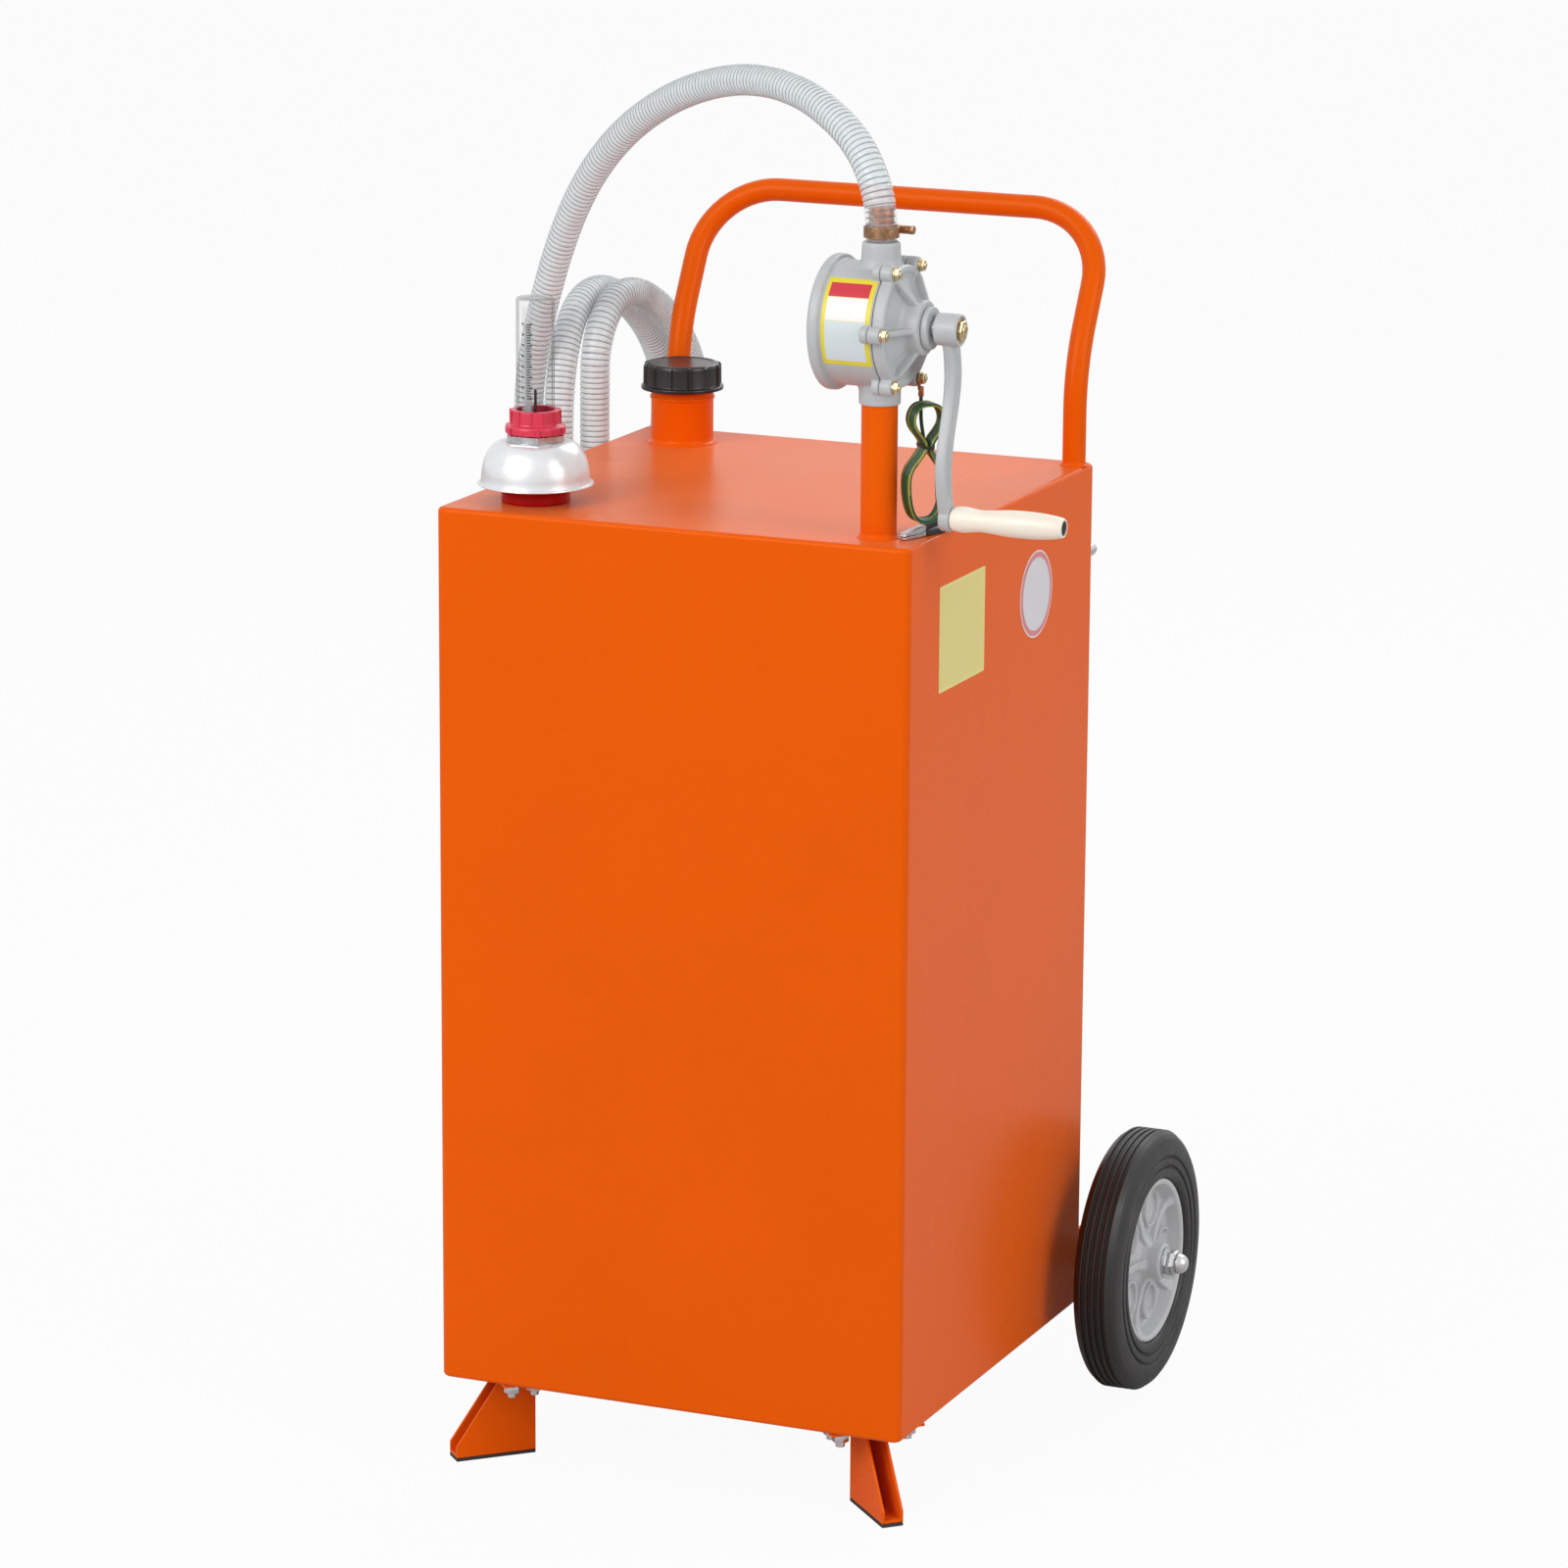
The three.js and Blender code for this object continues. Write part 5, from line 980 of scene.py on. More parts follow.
class CADDY_OT_gauge(Operator):
    """Makes the float gauge: gasket, domed cover, nut, collar, clear tube with its scale, rod and float"""

    bl_idname = "caddy.gauge"
    bl_label = "Float gauge"

    def execute(self, context):
        bore = 13.8
        gasket = [(bore, 0), (28.1, 0), (28.5, 1.5), (28, 7), (28.5, 12.5), (28.1, 14), (bore, 14), (bore, 0)]
        put("GaugeGasket", [turned(gasket, 72, 0.8)], gasket_rubber(), "caddy", GAUGE, "gauge_gasket")
        wall, steps = 1.5, 14
        angles = [math.pi / 2 * k / steps for k in range(steps + 1)]
        outer = [(27 + 18 * math.cos(angle), 18.8 + 31.5 * math.sin(angle)) for angle in angles]
        inner = [(across - wall, up - wall) for across, up in reversed(outer)]
        dome = [
            (bore, 48.8), *inner, (43.5, 14.4), (47.4, 14.4), (48, 15), (47.7, 16), (45.6, 16.4), *outer,
            (bore, 50.3), (bore, 48.8),
        ]
        put(
            "GaugeDome", [turned(dome, 96, 0)], dome_lacquer(), "caddy", GAUGE, "gauge_dome",
            sharp=50,
        )
        put(
            "GaugeNut", [hexagon(45, 50.6, 57.1), pipe(24.6, bore, 50.4, 51.2, 64, 0.2)], zinc(), "caddy", GAUGE,
            "gauge_nut", bevel=0.4,
        )
        collar = [
            (2.1, -14), (13.5, -14), (13.5, 57.4), (24.4, 57.4), (25, 58.1), (25, 62.8), (24.3, 64.1), (21.6, 65),
            (21, 66), (20.4, 76.2), (19.8, 76.9), (16, 76.9), (16, 60.8), (2.1, 60.8), (2.1, -14),
        ]
        lug = prism([(20, -1.7), (26.4, -1.4), (26.4, 1.4), (20, 1.7)], 57.5, 63.3)
        slot_rib = prism([(19.6, -0.7), (21.7, -0.7), (21.7, 0.7), (19.6, 0.7)], 64.6, 76.6)
        put(
            "GaugeCollar",
            [turned(collar, 72, 0.6), *round_copies(lug, 6, "Z"), *round_copies(slot_rib, 12, "Z", 15)],
            collar_plastic(), "caddy", GAUGE, "gauge_collar", bevel=0.3,
        )
        tube = [
            (14.2, 61.2), (15.7, 61.2), (15.7, 168.4), (14.7, 169.4), (0, 169.4), (0, 167.9), (14.2, 167.9),
            (14.2, 61.2),
        ]
        put("GaugeTube", [turned(tube, 64, 0.4)], clear_acrylic(), "caddy", GAUGE, "gauge_tube")
        # Fine marks stand on the grey band, with a dot on each side of it at every fourth.
        marks = []
        for k in range(29):
            z = 85 + 2.2 * k
            places = [(-5.6, 3.4, 0.8)]
            if k % 4 == 0:
                places += [(-9.9, 1.5, 1.5), (-2.6, 1.5, 1.5)]
            for x, wide, tall in places:
                mark = [(x, -4.75), (x + wide, -4.75), (x + wide, -4.62), (x, -4.62)]
                marks.append((prism(mark, z, z + tall), None, None, 2))
        strip = prism([(-10, -4.5), (-1, -4.5), (-1, -3.5), (-10, -3.5)], 61.3, 161.4)
        band = prism([(-7.4, -4.6), (-2.0, -4.6), (-2.0, -4.5), (-7.4, -4.5)], 61.6, 147)
        put(
            "GaugeScale", [(strip, None, None, 0), (band, None, None, 1), *marks],
            [scale_film(), scale_band(), sleeve_plastic()], "caddy", GAUGE, "gauge_scale",
        )
        rod = [(0, -103.7), (1.6, -103.7), (1.6, 70), (1.2, 71), (1.2, 92.4), (0.8, 93), (0, 93)]
        put("GaugeRod", [turned(rod, 24, 0.2)], sleeve_plastic(), "float_rod", GAUGE, "gauge_rod")
        put(
            "GaugeFloat", [disc(12.5, -146, -104, 48, 2.0)], cap_plastic(), "float_rod", GAUGE, "gauge_float",
        )
        return {"FINISHED"}


class CADDY_OT_pump(Operator):
    """Makes the standpipe and the cast rotary pump with its cover, bolts and inner parts"""

    bl_idname = "caddy.pump"
    bl_label = "Pump"

    def execute(self, context):
        stand = [(12.7, 0), (17.4, 0), (16.4, 1.2), (15.2, 2.4), (14.7, 4.4), (14.7, 116.1), (12.7, 116.1), (12.7, 0)]
        put("Standpipe", [turned(stand, 72, 0.5)], powder_coat(), "caddy", PORT, "standpipe")
        put("SuctionTube", [pipe(9.7, 8.2, -716, 124.1, 40)], zinc(), "caddy", PORT, "suction_tube")
        cage = [pipe(13, 10.2, -736, -733, 48), pipe(13, 10.2, -699, -696, 48), pipe(12.3, 11.3, -734, -698, 48)]
        bars = round_copies(prism([(11, -0.9), (13, -0.9), (13, 0.9), (11, 0.9)], -735, -697), 12, "Z")
        put("SuctionStrainer", [*cage, *bars], cap_plastic(), "caddy", PORT, "suction_strainer")
        rear, seam = -42.3, 12  # along the pump's axis, from its middle
        drum = [
            (0, rear), (51.5, rear), (54, rear + 1.6), (54.5, rear + 3.2), (54.5, rear + 8.4), (53.6, rear + 9.6),
            (50.4, rear + 10), (50, rear + 12), (50, seam), (0, seam),
        ]
        rim = [(44, rear - 0.2), (47, rear - 0.2), (47, rear + 2), (44, rear + 2), (44, rear - 0.2)]
        spigot = [
            (0, 30), (18, 46), (16.6, 50.5), (16, 53), (15.3, 65.5), (14.6, SHOULDER), (8.6, SHOULDER), (8.6, 68.6),
            (8.1, 71), (8.6, 71.4), (8.1, 76), (8.6, 76.4), (8.2, 80.7), (0, 80.7),
        ]
        socket = [(0, -64.1), (16.5, -64.1), (16.8, -62), (16.8, -54), (17.6, -48), (0, -40)]
        lug = turned([(0, 5), (6.2, 5), (7, 6.4), (7, seam), (0, seam)], 40, 0.4, "X")
        turns = [turn_about("X", 60 * k) for k in range(6)]
        body = [turned(drum, 128, 0.8, "X"), turned(rim, 96, 0.4, "X")]
        body += [turned(spigot, 64, 0.4), turned(socket, 64, 0.5)]
        body += [(lug, turn @ Vector((0, LUG_RING, 0)), turn) for turn in turns]
        put("PumpBody", body, pump_enamel(), "caddy", PUMP, "pump_body", cast=0.85)

        start = seam + GAP
        cone = [
            (0, start), (48.6, start), (49, 13), (49, 21), (48, COVER_FACE), (44, COVER_FACE), (42.6, 20.8),
            (38, 20.4), (27, 25.5), (23.6, 28), (22.3, 31), (22, 39.6), (21.2, 40.3), (0, 40.3),
        ]
        lug = turned([(0, start), (7, start), (7, 21.6), (6.3, COVER_FACE), (0, COVER_FACE)], 40, 0.4, "X")
        rib = prism([(18.6, 19.5), (39, 19.5), (26.5, 43.5), (21.6, 48), (18.6, 48)], -2.2, 2.2)
        cover = [turned(cone, 128, 0.7, "X")]
        for turn in turns:
            cover += [(lug, turn @ Vector((0, LUG_RING, 0)), turn), (rib, None, turn)]
        put("PumpCover", cover, pump_enamel(), "caddy", PUMP, "pump_cover", cast=0.85)
        gland = [(7.3, 40.6), (16.6, 40.6), (17, 41), (17, 45.2), (16.6, 45.6), (7.3, 45.6), (7.3, 40.6)]
        put("PumpGland", [turned(gland, 72, 0.5, "X")], pump_enamel(), "caddy", PUMP, "pump_gland")

        # The sixth bolt also holds the ground wire's lug, so it stands that much further out.
        for number, turn in enumerate(turns, 1):
            under = COVER_FACE + GAP + (1.5 if number == 6 else 0)
            pieces = [
                hexagon(8.6, under + 1.0, under + 4.3, "X", 0.1),
                pipe(5.1, 2.5, under, under + 1.0, 36, 0.2, "X"),
                disc(2.4, 6.4, under + 3, 20, 0.2, "X"),
                disc(2.2, under + 3, under + 5.6, 20, 0.5, "X"),
            ]
            bolt = [(made, turn @ Vector((0, LUG_RING, 0)), turn) for made in pieces]
            put(f"CoverBolt{number}", bolt, brass(), "caddy", PUMP, f"cover_bolt_{number}")

        # The label's middle and half its height, as angles round the drum
        facing, half = math.radians(180 - 10.5), math.radians(43)
        drum_skin, film, steps = 50.06, 0.1, 40

        def patch(name, x0, x1, low, high, lift, code):
            """A field of the label, bent round the drum. low and high are shares of the label's height."""
            rings = []
            for k in range(steps + 1):
                share = low + (high - low) * k / steps
                angle = facing - half * (1 - 2 * share)
                ring = []
                for x, over in ((x0, film), (x1, film), (x1, 0), (x0, 0)):
                    reach = drum_skin + lift + over
                    ring.append(Vector((x, reach * math.cos(angle), reach * math.sin(angle))))
                rings.append(ring)
            put(name, [skin_over(rings)], label_vinyl(name, code), "caddy", PUMP, sharp=40)

        patch("DrumPlate", -31, 11, 0.0, 1.0, 0, "E4D332")
        patch("DrumPlateHeader", -27.5, 7, 0.07, 0.24, 0.12, "CF3341")
        patch("DrumPlateField", -27.5, 7, 0.245, 0.5, 0.12, "EFEBE8")
        patch("DrumPlateBand", -27.5, 7, 0.505, 0.945, 0.12, "D3DBDF")

        rotor = turned([(7.3, -27.5), (29.2, -27.5), (29.2, 11.5), (7.3, 11.5), (7.3, -27.5)], 72, 0.4, "X")
        put("PumpRotor", [rotor], zinc(), "crank", PUMP, "pump_rotor")
        for k in range(2):
            vane = prism([(12, -1.5), (29.5, -1.5), (29.5, 1.5), (12, 1.5)], -27.5, 11.5, "X")
            put(
                f"PumpVane{k + 1}", [(vane, None, turn_about("X", 180 * k))], cap_plastic(), "crank", PUMP,
                f"pump_vane_{k + 1}", bevel=0.3,
            )
        return {"FINISHED"}


class CADDY_OT_crank(Operator):
    """Makes the curved cast crank arm, its nut, and the wooden grip on its spindle"""

    bl_idname = "caddy.crank"
    bl_label = "Crank"

    def execute(self, context):
        hub_rear, hub_front, arm_rear, arm_front = 49.6, 69.6, 54.6, 63.6
        seat = hub_front - 2.7  # of the nut, let into the hub
        hub = [
            (0, hub_rear), (12.4, hub_rear), (13, hub_rear + 0.6), (13, hub_front - 0.6), (12.4, hub_front),
            (10.6, hub_front), (10.4, seat), (0, seat),
        ]
        rings = []
        steps, sway = 60, 9  # sway is how far the arm swings to each side of its line
        half_top, half_foot = 9.6, 8.2  # of the arm's width
        for k in range(steps + 1):
            share = k / steps
            middle = sway * math.sin(2 * math.pi * share)
            slope = math.atan2(sway * 2 * math.pi * math.cos(2 * math.pi * share), -CRANK)
            half = half_top + (half_foot - half_top) * share
            trough = smoothstep(share, 0.1, 0.16) * (1 - smoothstep(share, 0.86, 0.92))
            side = Vector((0, -math.sin(slope - math.pi / 2), math.cos(slope - math.pi / 2)))
            side = Vector((0, 1, 0)) if abs(side.y) < 0.2 else side * math.copysign(1, side.y)
            side = Vector((0, 1, 0)) * 0.7 + side * 0.3
            spot = Vector((0, middle, -CRANK * share))
            outline = [
                (-half, arm_rear + 1.2), (-half + 1.2, arm_rear), (half - 1.2, arm_rear), (half, arm_rear + 1.2),
                (half, arm_front - 1.6), (half - 1.6, arm_front), (3.4, arm_front), (2.2, arm_front - 1.9 * trough),
                (-2.2, arm_front - 1.9 * trough), (-3.4, arm_front), (-half + 1.6, arm_front),
                (-half, arm_front - 1.6),
            ]
            rings.append([spot + side * w + Vector((x, 0, 0)) for w, x in outline])
        boss = [
            (0, arm_rear), (9.8, arm_rear), (10.5, arm_rear + 0.8), (10.5, arm_front - 0.8), (9.8, arm_front),
            (0, arm_front),
        ]
        put(
            "CrankArm", [turned(hub, 72, 0.5, "X"), skin_over(rings), (turned(boss, 64, 0.5, "X"), (0, 0, -CRANK))],
            pump_enamel(), "crank", PUMP, "crank_arm", cast=0.7,
        )
        nut = [
            pipe(10.2, 4.9, seat, seat + 1.0, 48, 0.2, "X"), hexagon(15, seat + 1, seat + 5, "X", 0.08),
            disc(4.4, seat, seat + 6.2, 32, 0.6, "X"),
        ]
        put("CrankNut", nut, brass(), "crank", PUMP, "crank_nut")
        shaft = turned([(0, -34.7), (7, -34.7), (7, 66.6), (4.8, 66.6), (4.8, 71.4), (0, 71.4)], 48, 0.3, "X")
        put("PumpShaft", [shaft], zinc(), "crank", PUMP, "pump_shaft")
        line = (PUMP[0], PUMP[1], PUMP[2] - CRANK)
        start, long, thick = 64.1, 95, 11  # of the grip: where it starts, its length and its greatest radius
        end = start + long
        shares = [
            (0, 0.78), (0.015, 0.86), (0.05, 0.925), (0.12, 0.945), (0.19, 0.86), (0.24, 0.81), (0.29, 0.81),
            (0.36, 0.855), (0.5, 0.97), (0.66, 1), (0.78, 0.965), (0.88, 0.89), (0.95, 0.8), (0.985, 0.73), (1, 0.66),
        ]
        body = smooth_line([Vector((thick * r, start + long * s, 0)) for s, r in shares], 5)
        bore = [(6.2, end), (6.0, end - 11), (4.5, end - 11), (4.5, start)]
        grip = turned([(4.5, start), *[(p.x, p.y) for p in body], *bore], 72, 0, "X")
        put("CrankGrip", [grip], grip_wood(), "grip", line, "crank_grip", sharp=50)
        head = end - 10.5
        spindle = [
            (0, arm_rear), (4, arm_rear), (4, head), (5.8, head), (6.0, end - 1.1), (5.2, end - 0.5), (0, end - 0.5),
        ]
        # The spindle's end carries the painted shade of the recess at the grip's end.
        put(
            "GripSpindle", [turned(spindle, 40, 0.3, "X")], recess_shade_steel(), "crank", line, "grip_spindle",
        )
        return {"FINISHED"}


class CADDY_OT_handle(Operator):
    """Makes the bent tube handle, welded to the tank's top"""

    bl_idname = "caddy.handle"
    bl_label = "Handle"

    def execute(self, context):
        right, left, y = 198, -172, 190
        knee, top, lean, radius = 84.5, 208, 29.5, 10  # lean is in degrees, and radius the tube's
        back = y + (top - knee) * math.tan(math.radians(lean))
        corners = [(right, y, 0), (right, y, knee), (right, back, top)]
        corners += [(left, across, up) for _, across, up in reversed(corners)]
        line = bent_line(corners, [150, 66, 66, 150])
        bead = turned([(0, 0), (12.6, 0), (11.8, 1.0), (10.4, 2.2), (10, 3.6), (0, 3.6)], 48, 0.4)
        beads = [(bead, (x, y, 0)) for x in (right, left)]
        put(
            "Handle", [swept(line, radius, 40), *beads], powder_coat(), "caddy", replaces="handle",
            sharp=50,
        )
        return {"FINISHED"}


class CADDY_OT_feet(Operator):
    """Makes the two channel feet, open outward, with their rubber pads and the bolts that hold them"""

    bl_idname = "caddy.feet"
    bl_label = "Feet"

    def execute(self, context):
        corner = math.hypot(WALL, WALL)  # from the tank's middle, along the diagonal on which the foot stands
        inner, toe, top = corner - 82, corner - 11, corner - 54
        sheet, half, wing, pad = 2.5, 9.5, 32, 3
        low = pad + GAP - CLEARANCE
        side = [(inner, -GAP), (inner, low), (toe, low), (toe, low + 10), (top, -GAP)]
        sole = [(inner, low), (toe, low), (toe, low + sheet), (inner, low + sheet)]
        web = [(inner, low), (inner + sheet, low), (inner + sheet, -GAP), (inner, -GAP)]

        def oblong(end, across, start, stop):
            return prism([(inner, -across), (end, -across), (end, across), (inner, across)], start, stop)

        channel = [
            prism(side, half - sheet, half, "Y"),
            prism(side, -half, -half + sheet, "Y"),
            prism(sole, -half + 1, half - 1, "Y"),
            prism(web, -half + 1, half - 1, "Y"),
            oblong(inner + 39, half + wing, -GAP - sheet, -GAP),
        ]
        rubber = oblong(toe, half, -CLEARANCE, pad - CLEARANCE)
        centre = (0, 0, -TANK_TALL)
        for name, degrees in (("left", -135), ("right", -45)):
            turn = turn_about("Z", degrees)
            title = name.capitalize()
            surfaces = [(made, None, turn) for made in channel]
            put("Foot" + title, surfaces, powder_coat(), "caddy", centre, "foot_" + name, bevel=0.5)
            put(
                "FootPad" + title, [(rubber, None, turn)], pad_rubber(), "caddy", centre, "foot_pad_" + name,
                bevel=0.5,
            )
            bolts = []
            for along in (158 * math.sqrt(2), 172 * math.sqrt(2)):
                for off in (-30, 30):
                    spot = turn @ Vector((along, off, 0))
                    bolts += [
                        (disc(8.2, -4.4, -2.9, 36, 0.3), spot),
                        (hexagon(12.5, -10.6, -4.4), spot, turn),
                        (disc(3.9, -15, -10, 28, 0.6), spot),
                    ]
            put("FootBolts" + title, bolts, zinc(), "caddy", centre)
        return {"FINISHED"}


class CADDY_OT_wheels(Operator):
    """Makes both wheels with their tyres and hubs, the axle, its brackets and nuts"""

    bl_idname = "caddy.wheels"
    bl_label = "Wheels"

    def execute(self, context):
        sizes = context.scene.caddy_details
        floor = WHEEL_RADIUS - sizes.groove_depth / UNIT  # of the tread's grooves
        middle = 257.0  # of a wheel, from the caddy's middle
        seat = 73
        flank = [
            (seat, 0), (seat, -17), (74.5, -19.2), (78, -20.4), (81.5, -20.6), (82.6, -18.4), (84, -18.4),
            (85.1, -20.8), (90, -20.9), (91.1, -18.8), (92.5, -18.8), (93.6, -20.9), (98, -20.8), (103, -20.2),
            (108, -19), (111.5, -16.6), (113.8, -13.4),
        ]
        tread = [(WHEEL_RADIUS, -12)]
        for x in (-9, -3, 3, 9):
            tread += [(WHEEL_RADIUS, x - 1.5), (floor, x - 1.1), (floor, x + 1.1), (WHEEL_RADIUS, x + 1.5)]
        tread.append((WHEEL_RADIUS, 12))
        section = flank + tread + [(r, -x) for r, x in reversed(flank)]
        rim = [
            (72.7, -17), (72.7, 17), (69.5, 17.4), (67.4, 16.2), (64.5, 3.5), (64.5, -3.5), (67.4, -16.2),
            (69.5, -17.4), (72.7, -17),
        ]
        web = [(9, -2.5), (68, -2.5), (68, 2.5), (9, 2.5), (9, -2.5)]
        back = WALL + 0.5 - middle  # of the hub's boss, just outside the wall
        boss = [(8.3, back), (15.4, back), (16, back + 1.5), (16, 26 - 0.8), (15.2, 26), (8.3, 26), (8.3, back)]
        flare = [(9, -6), (26, -2), (26, 2), (18, 8), (15.5, 15), (9, 15), (9, -6)]
        spoke_levels = ((13, 4.6, 15.5), (24, 3.6, 10), (46, 3.0, 7.5), (60, 3.8, 9), (67, 5.2, 14))
        pocket_up = 45  # from the axle to the middle of a pocket
        pocket_wall = ((14.2, 0), (14.2, 8.5), (16.6, 8.5), (16.6, 0))
        nut_start = 283.5
        washer = [(8.2, -0.4), (13.5, -0.4), (13.5, 1.4), (8.2, 1.4), (8.2, -0.4)]
        dome = [(0, 9), (9, 9), (9, 12.5), (8, 16.5), (5.6, 19.4), (2.6, 20.7), (0, 21)]
        plate = [(-15.7, -25), (-1.7, -25), (8, -20), (14, -12.5), (14, 12.5), (8, 20), (-1.7, 25), (-15.7, 25)]
        for sign, name in ((-1, "left"), (1, "right")):
            title = name.capitalize()

            def outward(profile, start=0):
                return [(r, sign * (start + x)) for r, x in profile]

            tyre = turned(outward(section, middle), 120, 0.5, "X")
            put("Tyre" + title, [tyre], tyre_rubber(), "wheel_" + name, AXLE, "tyre_" + name, sharp=50)
            surfaces = [turned(outward(outline), 96, 0.4, "X") for outline in (rim, web, boss, flare)]
            for k in range(sizes.spokes):
                turn = turn_about("X", 18 + 360 * k / sizes.spokes)
                between = turn_about("X", 18 + 360 * (k + 0.5) / sizes.spokes)
                for face in (sign, -sign):
                    spoke = [
                        [Vector((face * x, wide * side, r)) for side, x in ((-1, 0), (-1, deep), (1, deep), (1, 0))]
                        for r, wide, deep in spoke_levels
                    ]
                    surfaces.append((skin_over(spoke), None, turn))
                for face in (sign, -sign):
                    wall = []
                    for j in range(29):
                        angle = math.radians(-150 + 300 * j / 28)
                        wall.append([
                            Vector((face * deep, reach * math.sin(angle), pocket_up - reach * math.cos(angle)))
                            for reach, deep in pocket_wall
                        ])
                    surfaces.append((skin_over(wall), None, between))
            put(
                "WheelHub" + title, surfaces, hub_plastic(), "wheel_" + name, (sign * middle, AXLE[1], AXLE[2]),
                "wheel_hub_" + name, cast=1.1,
            )
            nut = [
                turned(outward(washer, nut_start), 56, 0.3, "X"),
                hexagon(20, *sorted((sign * (nut_start + 1.4), sign * (nut_start + 10))), "X", 0.07),
                turned(outward(dome, nut_start), 56, 0.8, "X"),
            ]
            put("AxleNut" + title, nut, zinc(), "caddy", AXLE, "axle_nut_" + name)
            x0, x1 = sorted((sign * (WALL - GAP), sign * (WALL - GAP - 5)))
            put(
                "AxleBracket" + title, [prism(plate, x0, x1, "X")], powder_coat(), "caddy", AXLE,
                "axle_bracket_" + name, bevel=0.6,
            )
        neck, tip = nut_start - 0.5, 292  # where the axle narrows to its threaded end, and where it ends
        threaded = [(0, tip), (6, tip), (6, neck), (8, neck)]
        shaft = [(r, -x) for r, x in threaded] + threaded[::-1]
        put("Axle", [turned(shaft, 48, 0.3, "X")], zinc(), "caddy", AXLE, "axle")
        return {"FINISHED"}


class CADDY_OT_hooks(Operator):
    """Makes the rod hooks that carry the hose, and the peg on the rear wall"""

    bl_idname = "caddy.hooks"
    bl_label = "Hooks"

    def execute(self, context):
        rod, bend, tip = 5, 10, 20  # radius of the rod, radius of its bends, and height of its turned-up end
        seats = []
        for turn in (0.18, 0.35):
            way = (coil_point(turn + 0.001) - coil_point(turn - 0.001)).normalized()
            side = Vector((0, way.y, way.z)).normalized()
            seat = coil_point(turn) + Vector((0, side.z, -side.y)) * (HOSE_RADIUS + GAP + rod)
            seats.append((seat.y, seat.z))
        (front_y, front_z), (rear_y, rear_z) = seats
        end_x = COIL_CENTRE.x - HOSE_RADIUS - 9
        wall = WALL + GAP
        front = [(-wall, front_y, front_z), (end_x, front_y, front_z), (end_x, front_y, front_z + tip)]
        rear = [(-190, wall, rear_z), (-190, rear_y, rear_z), (end_x, rear_y, rear_z), (end_x, rear_y, rear_z + tip)]
        for name, corners in (("front", front), ("rear", rear)):
            line = bent_line(corners, [bend] * (len(corners) - 2), 10)
            put(
                "HoseHook" + name.capitalize(), [swept(line, rod, 28)], zinc(), "caddy",
                replaces="hose_hook_" + name, sharp=40,
            )
        peg = turned([(0, GAP), (6, GAP), (6, 20), (5.2, 23.4), (3.2, 25.4), (0, 26)], 48, 0.6)
        put(
            "RearPost", [(peg, (199, WALL, -80), turn_about("X", -90))], zinc(), "caddy", replaces="rear_post",
        )
        return {"FINISHED"}


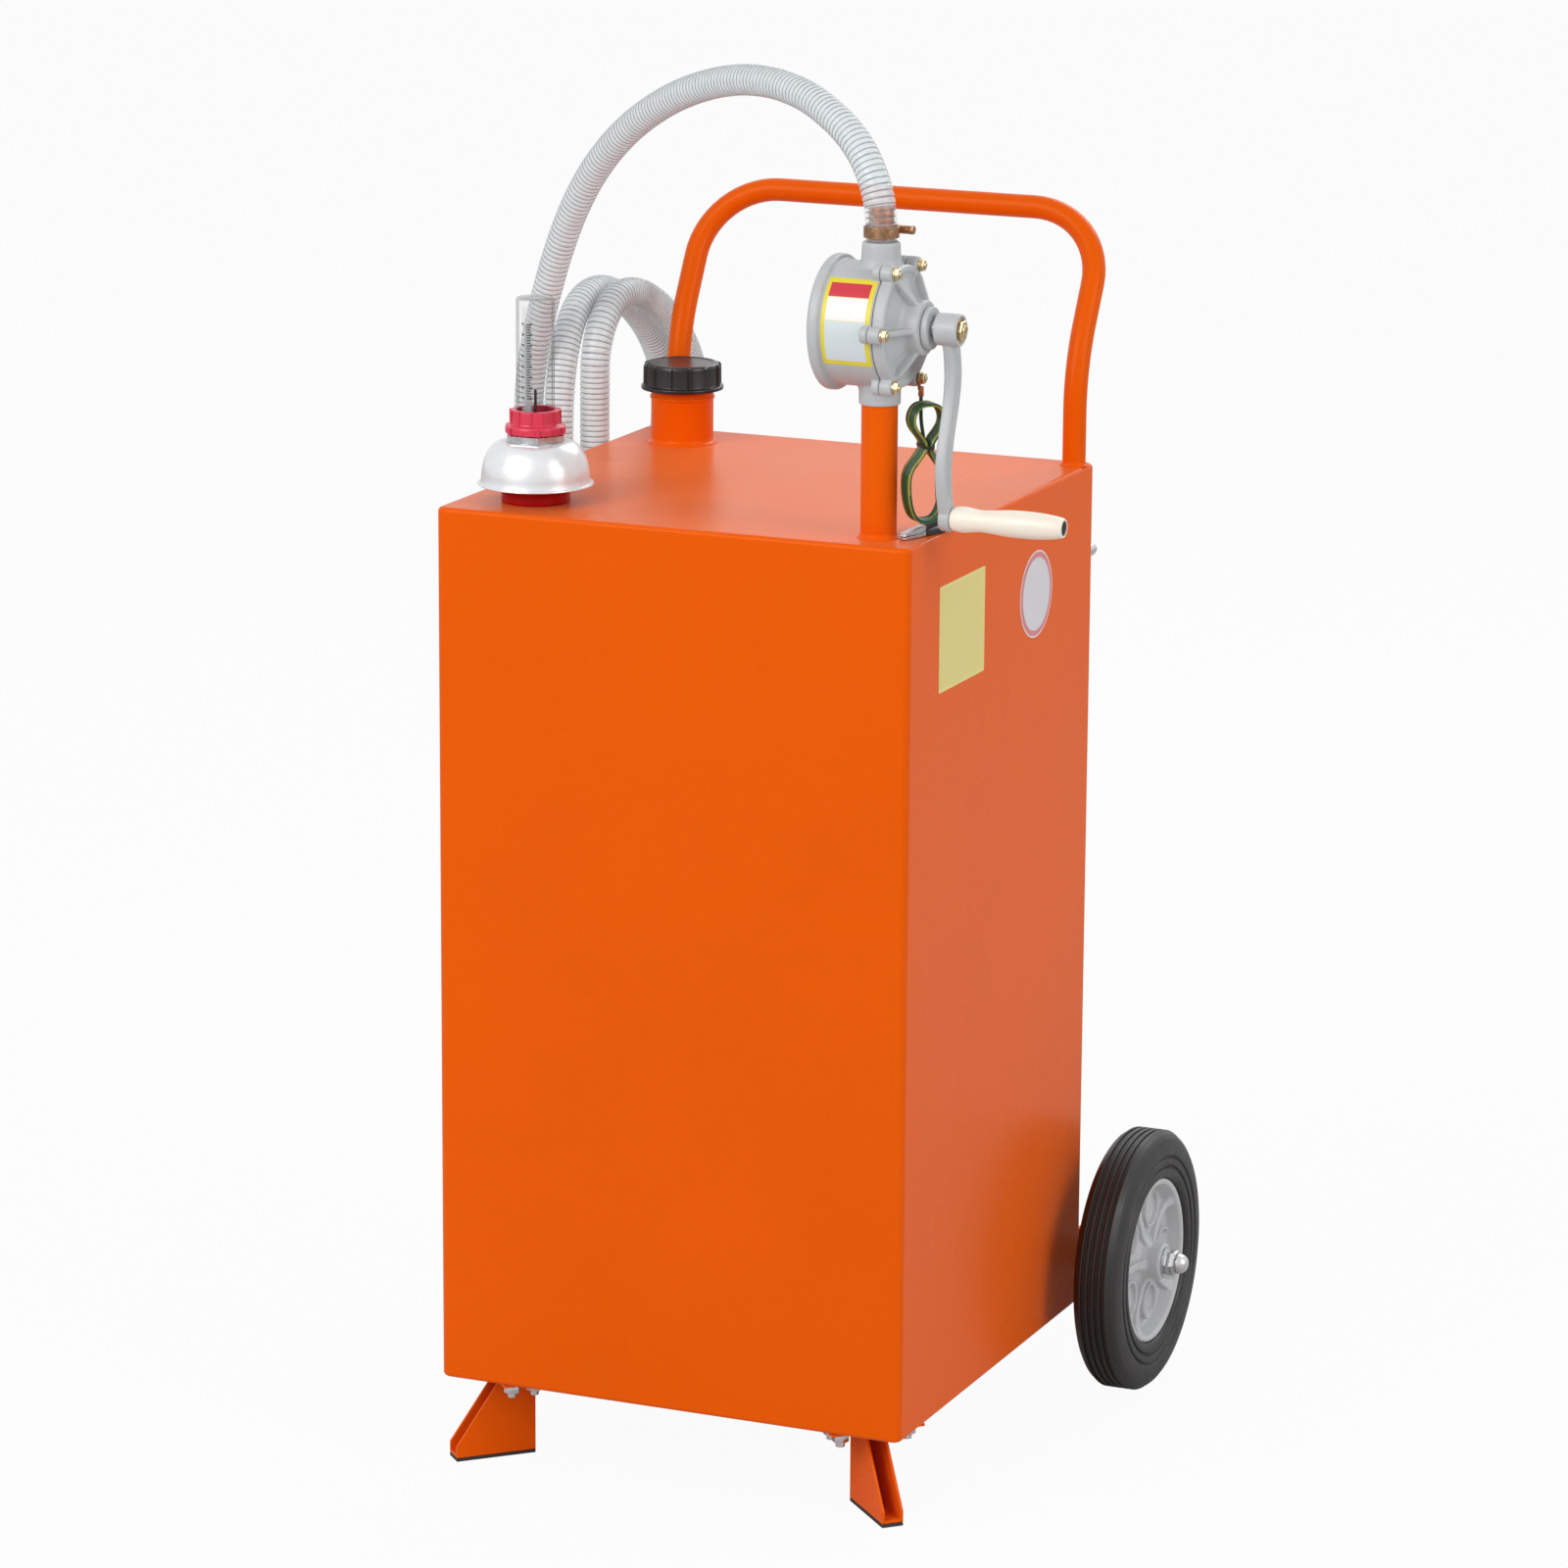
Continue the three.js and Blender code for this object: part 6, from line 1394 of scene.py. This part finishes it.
class CADDY_OT_stage(Operator):
    """Makes the pale floor, the soft studio lights and the white surroundings"""

    bl_idname = "caddy.stage"
    bl_label = "Stage"

    def execute(self, context):
        scene = context.scene
        scene.view_settings.view_transform = "Standard"
        floor_mesh = bpy.data.meshes.new("Floor")
        reach = 14.0  # in metres, as are the lamps' places and sizes
        corners = [(-reach, -reach, 0), (reach, -reach, 0), (reach, reach, 0), (-reach, reach, 0)]
        floor_mesh.from_pydata(corners, [], [(0, 1, 2, 3)])
        floor = bpy.data.objects.new("Floor", floor_mesh)
        scene.collection.objects.link(floor)
        look = bpy.data.materials.new("PaleStudioFloor")
        look.use_nodes = True
        tree = look.node_tree
        tree.nodes.clear()
        out = node(tree, "ShaderNodeOutputMaterial")
        lit = node(tree, "ShaderNodeBsdfDiffuse", {"Color": colour("D8D8D8")})
        glow = node(tree, "ShaderNodeEmission", {"Color": (1, 1, 1, 1), "Strength": 1.0})
        ray = node(tree, "ShaderNodeLightPath")
        seen = node(tree, "ShaderNodeMath", {1: 0.95}, {0: ray.outputs["Is Camera Ray"]}, operation="MULTIPLY")
        links = {"Fac": seen.outputs[0], 1: lit.outputs[0], 2: glow.outputs[0]}
        mixed = node(tree, "ShaderNodeMixShader", links=links)
        tree.links.new(mixed.outputs[0], out.inputs["Surface"])
        floor_mesh.materials.append(look)

        world = bpy.data.worlds.new("Studio")
        scene.world = world
        world.use_nodes = True
        sky = world.node_tree
        sky.nodes.clear()
        sky_out = node(sky, "ShaderNodeOutputWorld")
        white = node(sky, "ShaderNodeBackground", {"Color": (1, 1, 1, 1), "Strength": 1.0})
        soft = node(sky, "ShaderNodeBackground", {"Color": (1, 1, 1, 1), "Strength": 0.5})
        path = node(sky, "ShaderNodeLightPath").outputs
        either = node(
            sky, "ShaderNodeMath", links={0: path["Is Camera Ray"], 1: path["Is Transmission Ray"]},
            operation="MAXIMUM",
        )
        glossy = node(
            sky, "ShaderNodeMath", links={0: either.outputs[0], 1: path["Is Glossy Ray"]}, operation="MAXIMUM"
        )
        links = {"Fac": glossy.outputs[0], 1: soft.outputs[0], 2: white.outputs[0]}
        both = node(sky, "ShaderNodeMixShader", links=links)
        sky.links.new(both.outputs[0], sky_out.inputs["Surface"])

        def lamp(name, place, aim, wide, tall, power):
            data = bpy.data.lights.new(name, "AREA")
            data.shape = "RECTANGLE"
            data.size, data.size_y, data.energy = wide, tall, power
            made = bpy.data.objects.new(name, data)
            scene.collection.objects.link(made)
            made.location = place
            made.rotation_euler = (Vector(aim) - Vector(place)).to_track_quat("-Z", "Y").to_euler()

        middle = (0, 0, 0.55)
        lamp("KeySoftbox", (-1.4, -3.6, 2.9), middle, 2.4, 2.4, 95)
        lamp("SideSoftbox", (3.4, -0.9, 2.3), middle, 1.6, 2.2, 42)
        lamp("BackSoftbox", (0.4, 3.2, 3.0), middle, 2.4, 1.6, 40)
        return {"FINISHED"}


class CADDY_PT_panel(Panel):
    """Lists the caddy's pieces, sizes and colours"""

    bl_idname = "CADDY_PT_panel"
    bl_label = "Fuel caddy"
    bl_space_type = "VIEW_3D"
    bl_region_type = "UI"
    bl_category = "Fuel caddy"

    def draw(self, context):
        for group in (context.scene.caddy_finish, context.scene.caddy_hose, context.scene.caddy_details):
            box = self.layout.box()
            for name in group.__annotations__:
                box.prop(group, name)
        for operator in OPERATORS:
            self.layout.operator(operator.bl_idname)


OPERATORS = (
    CADDY_OT_camera,
    CADDY_OT_hose,
    CADDY_OT_ground_wire,
    CADDY_OT_tank,
    CADDY_OT_filler,
    CADDY_OT_gauge,
    CADDY_OT_pump,
    CADDY_OT_crank,
    CADDY_OT_handle,
    CADDY_OT_feet,
    CADDY_OT_wheels,
    CADDY_OT_hooks,
    CADDY_OT_stage,
)
GROUPS = {"caddy_finish": CaddyFinish, "caddy_hose": CaddyHose, "caddy_details": CaddyDetails}


def register():
    for kind in (*GROUPS.values(), *OPERATORS, CADDY_PT_panel):
        bpy.utils.register_class(kind)
    for name, kind in GROUPS.items():
        setattr(bpy.types.Scene, name, PointerProperty(type=kind))


def unregister():
    for name in GROUPS:
        delattr(bpy.types.Scene, name)
    for kind in reversed((*GROUPS.values(), *OPERATORS, CADDY_PT_panel)):
        bpy.utils.unregister_class(kind)


def main():
    register()
    for operator in OPERATORS:
        group, name = operator.bl_idname.split(".")
        getattr(getattr(bpy.ops, group), name)()


if __name__ == "__main__":
    main()
